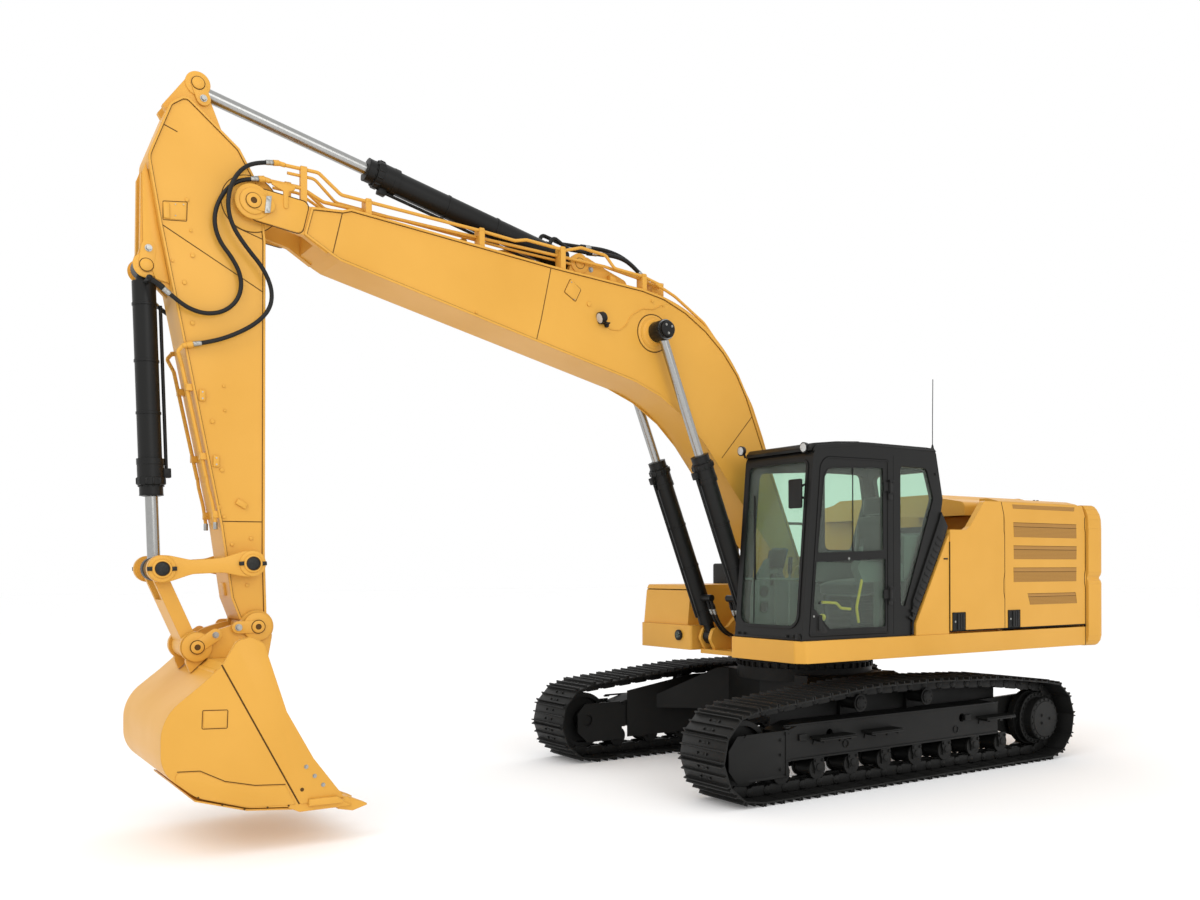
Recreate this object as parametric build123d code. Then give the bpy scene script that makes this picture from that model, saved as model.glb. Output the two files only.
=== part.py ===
from build123d import *
import os
from math import atan2, degrees, hypot, pi, tan

# Crawler excavator, 30 tonne class, in millimetres.
# +X forward (towards the bucket), +Y the machine's left (cab side), +Z up.
# The origin lies on the slewing axis, at the height of the ground.

os.makedirs("parts", exist_ok=True)

# ---------------------------------------------------------------- driving dimensions
TRACK_LENGTH = 4860          # over the shoes
TRACK_GAUGE = 2590           # between the tracks' middle planes
SHOE_WIDTH = 600
WHEEL_HEIGHT = 420           # idler and sprocket axles above the ground
SHOE_COUNT = 50
SHOE_GAP = 7                 # between two shoes along the track
GROUSER_HEIGHT = 26
SHOE_PLATE = 14
LINK_HEIGHT = 94             # chain, from the shoe to the rail that rolls
CHAIN_WIDTH = 190
WHEEL_SEAT_GAP = 0.5         # wheels stand clear of the chain by this
CARRIER_X = (616, -296)      # carrier rollers along the track frame
CARRIER_TOP = 825            # where the chain lies on the carrier rollers
TRACK_SAG_X = -1250          # point of the upper run between carrier and sprocket
TRACK_SAG_TOP = 790
ROLLER_COUNT = 8             # bottom rollers on each side
ROLLER_SPAN = 3010           # first to last bottom roller
ROLLER_RADIUS = 84
ROLLER_FLANGE = 13
CARRIER_RADIUS = 62
FRAME_BOTTOM = 322           # track frame's box
FRAME_TOP = 635
FRAME_WIDTH = 270
FRAME_FRONT = 1600
FRAME_REAR = -1340
GUARD_FRONT = 2130           # end of the idler guard
COVER_RADIUS = 222           # round cover of the final drive
RING_RADIUS = 690            # slewing bearing, outside
RING_BORE = 560
RING_BOTTOM = 1000
RING_SPLIT = 1068            # gap between its lower and upper ring starts here
RING_TOP = 1128
CARBODY_BOTTOM = 490
CARBODY_PLATE = 26

DECK_BOTTOM = 1160
DECK_TOP = 1360
DECK_WALL = 12
HALF_WIDTH = 1436            # upperstructure, slewing axis to its side
CAB_DECK_FRONT = 1385
CAB_DECK_INNER = 458
RIGHT_DECK_FRONT = 1130
RIGHT_DECK_INNER = 500
BODY_REAR = -2870            # decks and doors end here, the counterweight begins
BODY_GAP = 6                 # seams between doors, panels and counterweight
CENTRE_HALF = 452            # half width of the middle frame between the decks
COUNTERWEIGHT_HALF = 1500
COUNTERWEIGHT_CORNER = -3130
TAIL_X = -3250
BODY_TOP = 2700

BOOM_HALF = 225              # half width of the boom's box
FOOT_HALF = 232              # half width over the boom foot's bosses
FRAME_PLATE = 50             # thickness of the frame's boom foot plates
CYLINDER_Y = 350             # boom cylinders, from the middle plane
EYE_HALF = 55                # half width of a cylinder's eye
SIDE_GAP = 5                 # between faces that turn past each other
PIN_GAP = 0.3                # round a pin, on its radius
STICK_HALF = 165
EAR_PLATE = 50
LINK_PLATE = 50
BUCKET_HALF = 715
SKIN = 5                     # thin sheet metal of doors and covers

# Pin centres at rest, as (x, z) in the middle plane.
BOOM_FOOT = (330, 1935)
BOOM_TIP = (5811, 4771)
BUCKET_PIN = (5784, 1585)
IDLER_PIN = (5829, 2058)     # idler links on the stick
LINK_JOINT = (6464, 2020)    # idler links, power link and rod meet here
POWER_PIN = (6220, 1449)     # power link on the bucket
STICK_ROD_PIN = (6175, 5607)
STICK_CYL_PIN = (2861, 4790)
BUCKET_CYL_PIN = (6533, 4211)
BOOM_ROD_PIN = (2125, 4220)
BOOM_CYL_PIN = (968, 1306)

FOOT_PIN_RADIUS = 60
TIP_PIN_RADIUS = 55
BUCKET_PIN_RADIUS = 45
CYLINDER_PIN_RADIUS = 45

TRACK_Y = TRACK_GAUGE / 2
BOTH_SIDES = (1, -1)


# ---------------------------------------------------------------- small helpers
def outline(*corners):
    """A closed flat outline; a corner is (u, v) or (u, v, rounding radius)."""
    sketch = make_face(Polyline(*[(c[0], c[1]) for c in corners], close=True))
    for corner in corners:
        if len(corner) == 3:
            vertex = sketch.vertices().sort_by_distance((corner[0], corner[1], 0))[0]
            sketch = fillet(vertex, corner[2])
    return sketch


def disc(centre, radius):
    return Pos(centre[0], centre[1]) * Circle(radius)


def along_y(sketch, y0, y1):
    """Draws a sketch in x and z, and thickens it from y0 to y1."""
    low, high = min(y0, y1), max(y0, y1)
    return extrude(Plane.XZ.offset(-low) * sketch, amount=-(high - low))


def along_x(sketch, x0, x1):
    """Draws a sketch in y and z, and thickens it from x0 to x1."""
    return extrude(Plane.YZ.offset(x0) * sketch, amount=x1 - x0)


def along_z(sketch, z0, z1):
    return extrude(Plane.XY.offset(z0) * sketch, amount=z1 - z0)


def block(x0, x1, y0, y1, z0, z1):
    return Pos((x0 + x1) / 2, (y0 + y1) / 2, (z0 + z1) / 2) * Box(
        abs(x1 - x0), abs(y1 - y0), abs(z1 - z0))


def both(maker):
    """Joins what maker gives for the left (1) and the right (-1)."""
    return maker(1) + maker(-1)


def pin(centre, radius, half_length):
    return along_y(disc(centre, radius), -half_length, half_length)


def save(name, shape):
    solids = shape.solids()
    export_step(Compound(label=name, children=list(solids)), f"parts/{name}.step")
    print(name, len(solids))


def unit(start, end):
    length = hypot(end[0] - start[0], end[1] - start[1])
    return (end[0] - start[0]) / length, (end[1] - start[1]) / length


def between(start, end, distance):
    """The point at a distance from start towards end."""
    ux, uz = unit(start, end)
    return start[0] + ux * distance, start[1] + uz * distance


def rod_shape(start, end, near, far, radius, y=0):
    """A round bar on the line of two pins, from one distance to another, measured from start."""
    ux, uz = unit(start, end)
    centre = between(start, end, near)
    plane = Plane(origin=(centre[0], y, centre[1]), z_dir=(ux, 0, uz))
    return extrude(plane * Circle(radius), amount=far - near)


# ---------------------------------------------------------------- undercarriage
WHEEL_X = TRACK_LENGTH / 2 - WHEEL_HEIGHT
SHOE_DEPTH = GROUSER_HEIGHT + SHOE_PLATE
SEAT_RADIUS = WHEEL_HEIGHT - SHOE_DEPTH          # of the chain's outside round a wheel
WHEEL_RADIUS = SEAT_RADIUS - LINK_HEIGHT - WHEEL_SEAT_GAP


def track_path(inset):
    """The chain's loop, seen from the left, this far inside the shoes' seat."""
    radius = SEAT_RADIUS - inset
    top = WHEEL_HEIGHT + radius
    bottom = WHEEL_HEIGHT - radius
    rise = LINK_HEIGHT - inset
    run = [(WHEEL_X, top), (CARRIER_X[0], CARRIER_TOP + rise), (CARRIER_X[1], CARRIER_TOP + rise),
           (TRACK_SAG_X, TRACK_SAG_TOP + rise), (-WHEEL_X, top)]
    edges = [Line((-WHEEL_X, bottom), (WHEEL_X, bottom)),
             ThreePointArc((WHEEL_X, bottom), (WHEEL_X + radius, WHEEL_HEIGHT), (WHEEL_X, top))]
    edges += [Line(run[i], run[i + 1]) for i in range(len(run) - 1)]
    edges.append(ThreePointArc((-WHEEL_X, top), (-WHEEL_X - radius, WHEEL_HEIGHT), (-WHEEL_X, bottom)))
    return Wire([edge.edge() for edge in edges])


def make_track(side):
    y = side * TRACK_Y
    chain = make_face(track_path(0)) - make_face(track_path(LINK_HEIGHT))
    track = along_y(chain, y - CHAIN_WIDTH / 2, y + CHAIN_WIDTH / 2)
    path = track_path(0)
    pitch = path.length / SHOE_COUNT
    half = (pitch - SHOE_GAP) / 2
    bar = 9                                       # half thickness of a grouser
    steps = [-half + bar, 0, half - bar]
    profile = outline((-half, 1), (-half, -SHOE_PLATE), (half, -SHOE_PLATE), (half, 1))
    for step in steps:
        profile += Pos(step, -SHOE_DEPTH / 2) * Rectangle(2 * bar, SHOE_DEPTH)
    shoe = along_y(profile, -SHOE_WIDTH / 2, SHOE_WIDTH / 2)
    shoes = []
    for number in range(SHOE_COUNT):
        ahead = (number + 0.5) * pitch
        first = path.position_at(ahead - half, position_mode=PositionMode.LENGTH)
        last = path.position_at(ahead + half, position_mode=PositionMode.LENGTH)
        turn = degrees(atan2(last.Y - first.Y, last.X - first.X))
        place = Pos((first.X + last.X) / 2, y, (first.Y + last.Y) / 2)
        shoes.append(place * Rot(0, -turn, 0) * shoe)
    return track.fuse(*shoes)


def make_idlers():
    hub = CHAIN_WIDTH / 2 - 25
    wheels = []
    for side in BOTH_SIDES:
        y = side * TRACK_Y
        rim = along_y(disc((WHEEL_X, WHEEL_HEIGHT), WHEEL_RADIUS), y - hub, y + hub)
        hollow = disc((WHEEL_X, WHEEL_HEIGHT), WHEEL_RADIUS - 45) - disc((WHEEL_X, WHEEL_HEIGHT), 95)
        rim -= along_y(hollow, y + 22, y + hub)
        rim -= along_y(hollow, y - hub, y - 22)
        rim += along_y(disc((WHEEL_X, WHEEL_HEIGHT), 60), y - FRAME_WIDTH / 2, y + FRAME_WIDTH / 2)
        wheels.append(rim)
    return wheels[0] + wheels[1]


def make_sprockets():
    centre = (-WHEEL_X, WHEEL_HEIGHT)
    wheels = []
    for side in BOTH_SIDES:
        y = side * TRACK_Y
        wheel = along_y(disc(centre, WHEEL_RADIUS), y - 35 * side, y + 35 * side)
        wheel += along_y(disc(centre, COVER_RADIUS + 26), y + 35 * side, y + 95 * side)
        wheel += along_y(disc(centre, COVER_RADIUS), y + 95 * side, y + 205 * side)
        wheel += along_y(disc(centre, COVER_RADIUS - 12), y - 35 * side, y - 225 * side)
        wheels.append(wheel)
    return wheels[0] + wheels[1]


def make_bottom_rollers():
    height = SHOE_DEPTH + LINK_HEIGHT + ROLLER_RADIUS + WHEEL_SEAT_GAP
    rollers = None
    for side in BOTH_SIDES:
        y = side * TRACK_Y
        for number in range(ROLLER_COUNT):
            x = -ROLLER_SPAN / 2 + ROLLER_SPAN * number / (ROLLER_COUNT - 1) + 100
            roller = along_y(disc((x, height), ROLLER_RADIUS), y - 88, y + 88)
            for end in BOTH_SIDES:
                roller += along_y(disc((x, height), ROLLER_RADIUS + ROLLER_FLANGE),
                                  y + end * (CHAIN_WIDTH / 2 + 2), y + end * (CHAIN_WIDTH / 2 + 24))
                roller += along_y(disc((x, height), ROLLER_RADIUS - 10), y + end * 80,
                                  y + end * (CHAIN_WIDTH / 2 + 3))
                roller += along_y(disc((x, height), 42), y + end * 110, y + end * (FRAME_WIDTH / 2 - 1))
                roller += block(x - 45, x + 45, y + end * (CHAIN_WIDTH / 2 + 25),
                                y + end * (FRAME_WIDTH / 2), height - 42, FRAME_BOTTOM)
            rollers = roller if rollers is None else rollers + roller
    return rollers


def make_carrier_rollers():
    height = CARRIER_TOP - CARRIER_RADIUS - WHEEL_SEAT_GAP
    rollers = None
    for side in BOTH_SIDES:
        y = side * TRACK_Y
        for x in CARRIER_X:
            roller = along_y(disc((x, height), CARRIER_RADIUS), y - side * 95, y + side * 95)
            roller += along_y(disc((x, height), CARRIER_RADIUS + 20), y + side * 97, y + side * 112)
            roller += along_y(disc((x, height), 48), y + side * 95, y + side * 125)
            roller += along_y(disc((x, height), 35), y - side * 95, y - side * 130)
            roller += block(x - 55, x + 55, y - side * 101, y - side * 130, FRAME_TOP, height + 45)
            rollers = roller if rollers is None else rollers + roller
    return rollers


def make_track_frame(side):
    y = side * TRACK_Y
    half = FRAME_WIDTH / 2
    frame = along_y(outline((FRAME_REAR, FRAME_BOTTOM), (FRAME_FRONT, FRAME_BOTTOM),
                            (FRAME_FRONT, FRAME_TOP - 60), (FRAME_FRONT - 220, FRAME_TOP),
                            (FRAME_REAR, FRAME_TOP)), y - half, y + half)
    inside = half - 30
    frame -= block(FRAME_REAR + 40, FRAME_FRONT - 260, y - inside, y + inside,
                   FRAME_BOTTOM + 30, FRAME_TOP - 30)
    guard = outline((FRAME_FRONT, 190), (GUARD_FRONT - 120, 190), (GUARD_FRONT, 300),
                    (GUARD_FRONT, 500), (GUARD_FRONT - 90, FRAME_TOP - 40), (FRAME_FRONT, FRAME_TOP - 40))
    for end in BOTH_SIDES:
        plate = along_y(guard, y + end * (half + 1), y + end * (half + 26))
        plate += block(FRAME_FRONT - 60, FRAME_FRONT, y + end * (half - 10), y + end * (half + 26),
                       FRAME_BOTTOM, FRAME_TOP - 70)
        frame += plate
    rear = outline((FRAME_REAR - 200, FRAME_BOTTOM), (FRAME_REAR + 60, FRAME_BOTTOM),
                   (FRAME_REAR + 60, FRAME_TOP), (-WHEEL_X, WHEEL_HEIGHT + 235),
                   (-WHEEL_X - 160, WHEEL_HEIGHT + 160),
                   (-WHEEL_X - 200, WHEEL_HEIGHT), (-WHEEL_X - 160, WHEEL_HEIGHT - 160),
                   (-WHEEL_X, WHEEL_HEIGHT - 235))
    frame += along_y(rear - disc((-WHEEL_X, WHEEL_HEIGHT), COVER_RADIUS - 11.5),
                     y - side * half, y - side * (half - 45))
    shaft = disc((WHEEL_X, WHEEL_HEIGHT), 60.3)
    frame -= along_y(shaft, y - half - 30, y + half + 30)
    tie = disc((FRAME_FRONT - 560, 520), 42) + disc((FRAME_REAR + 560, 520), 42)
    frame -= along_y(tie, y + side * (half - 35), y + side * (half + 1))
    return frame


def make_carbody():
    inner = TRACK_Y - FRAME_WIDTH / 2
    plan = outline((-520, -620), (-1130, -inner), (-620, -inner), (-150, -760), (150, -760), (620, -inner),
                   (1130, -inner), (520, -620), (620, 0), (520, 620), (1130, inner), (620, inner),
                   (150, 760), (-150, 760), (-620, inner), (-1130, inner), (-520, 620), (-620, 0))
    body = along_z(plan, CARBODY_BOTTOM, RING_BOTTOM - 60)
    profile = outline((-inner, CARBODY_BOTTOM), (-inner, 625), (-700, RING_BOTTOM - 60),
                      (700, RING_BOTTOM - 60), (inner, 625), (inner, CARBODY_BOTTOM))
    body &= along_x(profile, -1300, 1300)
    room = along_z(offset(plan, -CARBODY_PLATE), CARBODY_BOTTOM + CARBODY_PLATE,
                   RING_BOTTOM - 60 - CARBODY_PLATE)
    body -= room & along_x(offset(profile, -CARBODY_PLATE), -1300, 1300)
    body -= along_z(Circle(180), CARBODY_BOTTOM - 1, CARBODY_BOTTOM + CARBODY_PLATE + 1)
    body += along_z(Circle(RING_RADIUS + 14), RING_BOTTOM - 130, RING_BOTTOM)
    body -= along_z(Circle(RING_BORE - 120), RING_BOTTOM - 90, RING_BOTTOM)
    return body


def make_slewing_ring():
    ring = Circle(RING_RADIUS) - Circle(RING_BORE)
    return along_z(ring, RING_BOTTOM, RING_SPLIT)


def make_slewing_ring_upper():
    ring = Circle(RING_RADIUS - 20) - Circle(RING_BORE + 10)
    return along_z(ring, RING_SPLIT + 0.5, RING_TOP)


# ---------------------------------------------------------------- upperstructure
BASE_TOP = RING_TOP + 45
FOOT_INNER = FOOT_HALF + SIDE_GAP
FOOT_OUTER = FOOT_INNER + FRAME_PLATE
EYE_OUT = CYLINDER_Y + EYE_HALF
LUG_OUT = EYE_OUT + SIDE_GAP + 40
HOSE_BULKHEAD_Z = 1300
BOOM_HOSE_Y = (205, 150)     # the two hoses of each boom cylinder, from the middle plane


def make_upper_frame():
    base = block(BODY_REAR - BODY_GAP, 1040, -CENTRE_HALF, CENTRE_HALF, RING_TOP, BASE_TOP)
    base -= along_z(Circle(RING_BORE - 260), RING_TOP - 1, BASE_TOP + 1)
    plate = outline((BODY_REAR, BASE_TOP), (1010, BASE_TOP), (1075, 1290, 60), (1030, 1400, 60),
                    (850, 1400, 60), (540, 1690, 120), (450, 2060, 130), (330, 2110, 130), (190, 2040, 130),
                    (-380, 1400, 200), (BODY_REAR, 1330))
    lug = outline((700, BASE_TOP), (1010, BASE_TOP), (1075, 1290, 60), (1030, 1400, 60), (870, 1400, 60))
    frame = base
    for side in BOTH_SIDES:
        frame += along_y(plate, side * FOOT_INNER, side * FOOT_OUTER)
        frame += along_y(lug, side * (EYE_OUT + SIDE_GAP), side * LUG_OUT)
    cross = block(745, 785, -FOOT_INNER - 1, FOOT_INNER + 1, BASE_TOP - 1, HOSE_BULKHEAD_Z + 45)
    frame += cross
    (x1, z1), (x2, z2) = BOOM_CYLINDER_ROUTE[-2:]
    for y in (*BOOM_HOSE_Y, *[-y for y in BOOM_HOSE_Y]):
        end, before = (x2, y, z2), (x1, y, z1)
        frame += bar(behind(end, before, CRIMP_GAP), behind(end, before), FITTING_RADIUS)
    frame += pin(BOOM_FOOT, FOOT_PIN_RADIUS, FOOT_OUTER + 25)
    for side in BOTH_SIDES:
        frame += along_y(disc(BOOM_CYL_PIN, CYLINDER_PIN_RADIUS), side * (FOOT_INNER + 5),
                         side * (LUG_OUT + 5))
        frame += along_y(disc(BOOM_FOOT, 105), side * FOOT_OUTER, side * (FOOT_OUTER + 22))
    return frame


def tray(plan, inner, z0, z1):
    """A deck: its plate on top, a skirt round it, open below."""
    return along_z(plan, z0, z1) - along_z(inner, z0, z1 - DECK_WALL)


def make_left_deck():
    plan = outline((BODY_REAR, HALF_WIDTH), (BODY_REAR, CENTRE_HALF), (CAB_DECK_INNER, CENTRE_HALF),
                   (CAB_DECK_INNER + 60, CAB_DECK_INNER), (CAB_DECK_FRONT, CAB_DECK_INNER, 25),
                   (CAB_DECK_FRONT, HALF_WIDTH - 90, 40), (CAB_DECK_FRONT - 75, HALF_WIDTH, 60))
    wall = DECK_WALL
    inner = outline((BODY_REAR + wall, HALF_WIDTH - wall), (BODY_REAR + wall, CENTRE_HALF + wall),
                    (CAB_DECK_FRONT - wall, CAB_DECK_INNER + wall + 10),
                    (CAB_DECK_FRONT - wall, HALF_WIDTH - 130), (CAB_DECK_FRONT - 140, HALF_WIDTH - wall))
    deck = tray(plan, inner, DECK_BOTTOM, DECK_TOP)
    return deck


def make_right_deck():
    front = RIGHT_DECK_FRONT
    wall = DECK_WALL
    plan = outline((BODY_REAR, -HALF_WIDTH), (BODY_REAR, -CENTRE_HALF), (380, -CENTRE_HALF),
                   (440, -RIGHT_DECK_INNER), (front, -RIGHT_DECK_INNER, 25), (front, -HALF_WIDTH, 70))
    inner = outline((BODY_REAR + wall, -HALF_WIDTH + wall), (BODY_REAR + wall, -CENTRE_HALF - wall),
                    (380, -CENTRE_HALF - wall), (440, -RIGHT_DECK_INNER - wall),
                    (front - wall, -RIGHT_DECK_INNER - wall), (front - wall, -HALF_WIDTH + wall + 20))
    deck = tray(plan, inner, DECK_BOTTOM, DECK_TOP)
    return deck + along_z(plan & Pos(front - 150, -1000) * Rectangle(300, 1000), DECK_TOP, DECK_TOP + 55)


def make_counterweight():
    half = COUNTERWEIGHT_HALF
    back = COUNTERWEIGHT_CORNER
    front = BODY_REAR - BODY_GAP
    plan = outline((front, half - 35), (front, -half + 35), (back + 60, -half, 90), (back, -half + 130, 110),
                   (back - 70, -900), (TAIL_X, -350, 900), (TAIL_X, 350, 900), (back - 70, 900),
                   (back, half - 130, 110), (back + 60, half, 90))
    body = along_z(plan, DECK_BOTTOM - 10, BODY_TOP)
    rim = body.faces().sort_by(Axis.Z)
    body = fillet(rim[-1].edges().filter_by(lambda edge: edge.center().X < front - 5), 95)
    body = fillet(body.faces().sort_by(Axis.Z)[0].edges().filter_by(
        lambda edge: edge.center().X < front - 5), 60)
    body -= block(front + 1, back + 160, -half + 260, half - 260, DECK_BOTTOM + 160, BODY_TOP - 260)
    recess = block(TAIL_X - 50, back + 60, -420, 420, DECK_BOTTOM + 60, DECK_BOTTOM + 330)
    body -= recess & block(TAIL_X - 50, TAIL_X + 60, -420, 420, DECK_BOTTOM, DECK_BOTTOM + 400)
    for side in BOTH_SIDES:
        body -= Pos(back + 160, side * 760, BODY_TOP - 55) * Box(220, 110, 120)
        eye = Pos(back + 160, side * 760, BODY_TOP - 60) * Rot(0, 90, 0) * Cylinder(24, 240)
        body += eye
    return body


ENGINE_SEAT = 1366.3         # top of the frame's long plates under the engine's front end


def make_engine():
    return block(-2500, -1600, -290, 290, ENGINE_SEAT, 1880)


WALL_X = -640                # firewall behind the cab
DOOR_TOP = 2560
HOOD_FRONT = -1240
DOOR_DEPTH = 62
HOOD_HALF = HALF_WIDTH - 336  # middle plane to the hood's edge
DOOR_SEAT = HALF_WIDTH - DOOR_DEPTH - 0.3
DOOR_SPLIT = -1455           # seam between the two left doors
RIGHT_SPLIT = -1420          # end of the tanks, where the right door begins


def make_rear_body():
    """Walls and jambs that the doors and the hood close on, with the fixed top edges beside the hood."""
    wall = 12
    low = DECK_TOP
    high = DOOR_TOP
    inner = CENTRE_HALF + 20
    body = block(WALL_X, WALL_X - wall, inner, DOOR_SEAT, low, 2330)
    body += block(WALL_X + 34, WALL_X, DOOR_SEAT - 20, DOOR_SEAT, low, 2330)
    body += block(WALL_X, BODY_REAR + 20, inner, inner + wall, low, high)
    body += block(DOOR_SPLIT - 30, DOOR_SPLIT + 30, DOOR_SEAT - 20, DOOR_SEAT, low, high)
    body += block(RIGHT_SPLIT - 40, RIGHT_SPLIT, -DOOR_SEAT, -DOOR_SEAT + 20, low, high)
    body += block(DOOR_SPLIT - wall / 2, DOOR_SPLIT + wall / 2, inner, DOOR_SEAT, low, high)
    body += block(RIGHT_SPLIT - wall, RIGHT_SPLIT, -DOOR_SEAT, -inner, low, high)
    for side in BOTH_SIDES:
        body += block(BODY_REAR + 20, BODY_REAR + 44, side * inner, side * DOOR_SEAT, low, high)
    body += block(RIGHT_SPLIT, BODY_REAR + 20, -inner - wall, -inner, low, high)
    body += block(HOOD_FRONT - wall, HOOD_FRONT, -inner - wall, inner + wall, BASE_TOP + 400, high)
    return body + make_shoulders()


def make_left_panel():
    """Fixed panel behind the cab, with the slanted front edge that follows the cab."""
    plate = outline((-118, DECK_TOP), (-118, 1470), (-572, 2300), (-600, 2340), (-600, DECK_TOP))
    panel = along_y(plate, HALF_WIDTH - 40, HALF_WIDTH - 8)
    panel += block(-600, -570, CENTRE_HALF + 30, HALF_WIDTH - 40, DECK_TOP, 2250)
    return panel


def make_left_front_door():
    """Pump compartment door: outer sheet with a raised rear top, hinged at its rear edge."""
    profile = outline((-604, 1392), (-604, 2390), (-850, 2392, 60), (-905, 2425, 60), (-1130, 2690, 60),
                      (-1395, 2690), (-1440, 2560, 80), (-1452, 2480), (-1452, 1392))
    door = along_y(profile, HALF_WIDTH - DOOR_DEPTH, HALF_WIDTH)
    inner = outline((-640, 1425), (-640, 2330), (-880, 2335), (-1150, 2600), (-1370, 2600),
                    (-1415, 2480), (-1415, 1425))
    return door - along_y(inner, HALF_WIDTH - DOOR_DEPTH - 1, HALF_WIDTH - SKIN)


def louvre_slots(x0, x1, levels, y0, y1):
    cut = None
    for low, high in levels:
        slot = block(x0, x1, y0, y1, low, high)
        cut = slot if cut is None else cut + slot
    return cut


def make_left_rear_door():
    profile = outline((-1458, 1392), (-1458, 2485), (-1446, 2562, 80), (-1401, 2690), (-2790, 2690),
                      (BODY_REAR + 4, 2540), (BODY_REAR + 4, 1392))
    door = along_y(profile, HALF_WIDTH - DOOR_DEPTH, HALF_WIDTH)
    inner = outline((-1495, 1425), (-1495, 2480), (-1450, 2650), (-2770, 2650), (-2835, 2530), (-2835, 1425))
    door -= along_y(inner, HALF_WIDTH - DOOR_DEPTH - 1, HALF_WIDTH - SKIN)
    door -= louvre_slots(-1620, -2680, ((2370, 2460), (2110, 2200), (1865, 1955)),
                         HALF_WIDTH - SKIN - 1, HALF_WIDTH + 1)
    slant = outline((-1850, 1735), (-2680, 1735), (-2700, 1625), (-1890, 1625))
    return door - along_y(slant, HALF_WIDTH - SKIN - 1, HALF_WIDTH + 1)


def make_right_side_door():
    profile = outline((-1424, 1392), (-1424, 2562, 60), (BODY_REAR + 4, 2562, 60), (BODY_REAR + 4, 1392))
    door = along_y(profile, -HALF_WIDTH + DOOR_DEPTH, -HALF_WIDTH)
    inner = outline((-1460, 1430), (-1460, 2525), (BODY_REAR + 40, 2525), (BODY_REAR + 40, 1430))
    door -= along_y(inner, -HALF_WIDTH + DOOR_DEPTH + 1, -HALF_WIDTH + SKIN)
    return door - louvre_slots(-1650, -2650, ((2330, 2400), (2180, 2250), (2030, 2100), (1880, 1950)),
                               -HALF_WIDTH + SKIN + 1, -HALF_WIDTH - 1)


def make_engine_hood():
    """Top cover over the engine: an open pan with a raised middle."""
    low = DOOR_TOP + 0.3
    edge, slope, top = HOOD_HALF, HOOD_HALF - 300, HOOD_HALF - 400
    shell = along_x(outline((-edge, low), (-edge, 2700, 60), (-slope, 2755), (-top, 2800, 40),
                            (top, 2800, 40), (slope, 2755), (edge, 2700, 60), (edge, low)),
                    -2760, HOOD_FRONT)
    edge, slope, top = edge - 20, slope - 10, top - 10
    pan = along_x(outline((-edge, low - 1), (-edge, 2680), (-slope, 2735), (-top, 2780), (top, 2780),
                          (slope, 2735), (edge, 2680), (edge, low - 1)), -2740, HOOD_FRONT - 20)
    return shell - pan


def make_shoulders():
    """Fixed top edges of the body beside the hood, on the left and the right."""
    inner = HOOD_HALF + 10
    left = along_x(outline((inner, DOOR_TOP - 8), (inner, 2740), (HALF_WIDTH - 220, 2740, 30),
                           (HALF_WIDTH - 70, 2700, 60), (HALF_WIDTH - 70, DOOR_TOP - 8)),
                   BODY_REAR + 30, -1470)
    left -= along_x(outline((inner + 12, DOOR_TOP - 9), (inner + 12, 2728), (HALF_WIDTH - 225, 2728),
                            (HALF_WIDTH - 82, 2690), (HALF_WIDTH - 82, DOOR_TOP - 9)), BODY_REAR + 42, -1482)
    right = along_x(outline((-inner, DOOR_TOP - 8), (-inner, 2740), (-HALF_WIDTH + 120, 2720, 60),
                            (-HALF_WIDTH + 8, 2640, 60), (-HALF_WIDTH + 8, DOOR_TOP + 6),
                            (-HALF_WIDTH + 70, DOOR_TOP + 6), (-HALF_WIDTH + 70, DOOR_TOP - 8)),
                    BODY_REAR + 30, -1470)
    right -= along_x(outline((-inner - 12, DOOR_TOP - 9), (-inner - 12, 2728), (-HALF_WIDTH + 125, 2708),
                             (-HALF_WIDTH + 20, 2630), (-HALF_WIDTH + 20, DOOR_TOP + 18),
                             (-HALF_WIDTH + 82, DOOR_TOP + 18), (-HALF_WIDTH + 82, DOOR_TOP - 9)),
                     BODY_REAR + 42, -1482)
    return left + right


TANK_WALL = 12
TANK_TOP = 2060              # of the fuel tank; the hydraulic tank is 90 higher
TANK_REAR = -1410            # rear end of the hydraulic tank
TANK_SPLIT = -766            # middle of the gap between the two tanks
TANK_INSET = 12              # from the deck's edge to the tanks' outside


def open_box(x0, x1, y0, y1, z0, z1, wall, rounding):
    """A tank that stands on the deck, which closes it below."""
    box = fillet(block(x0, x1, y0, y1, z0, z1).edges().filter_by(Axis.Z), rounding)
    box = fillet(box.faces().sort_by(Axis.Z)[-1].edges(), rounding / 2)
    return box - block(x0 + wall, x1 - wall, y0 + wall, y1 - wall, z0 - 1, z1 - 2 * wall)


def make_fuel_tank():
    return open_box(TANK_SPLIT + 6, LOCKER_REAR - 4, -HALF_WIDTH + TANK_INSET, -RIGHT_DECK_INNER - 30,
                    DECK_TOP, TANK_TOP, TANK_WALL, 60)


def make_hydraulic_tank():
    return open_box(TANK_REAR, TANK_SPLIT - 6, -HALF_WIDTH + TANK_INSET, -RIGHT_DECK_INNER - 30,
                    DECK_TOP, TANK_TOP + 90, TANK_WALL, 60)


LOCKER_FRONT = 118
LOCKER_REAR = -160
LOCKER_TOP = 2070


def make_side_locker():
    """Dark box between toolbox and fuel tank, with ribs round its outside."""
    x0, x1 = LOCKER_REAR, LOCKER_FRONT
    y0, y1 = -HALF_WIDTH + 12, -RIGHT_DECK_INNER - 130
    box = open_box(x0, x1, y0, y1, DECK_TOP, LOCKER_TOP, TANK_WALL, 50)
    for number in range(1, 3):
        y = y0 + (y1 - y0) * number / 3
        box -= block(x1 - 7, x1 + 1, y - 8, y + 8, 1900, LOCKER_TOP + 1)
    return box


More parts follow.
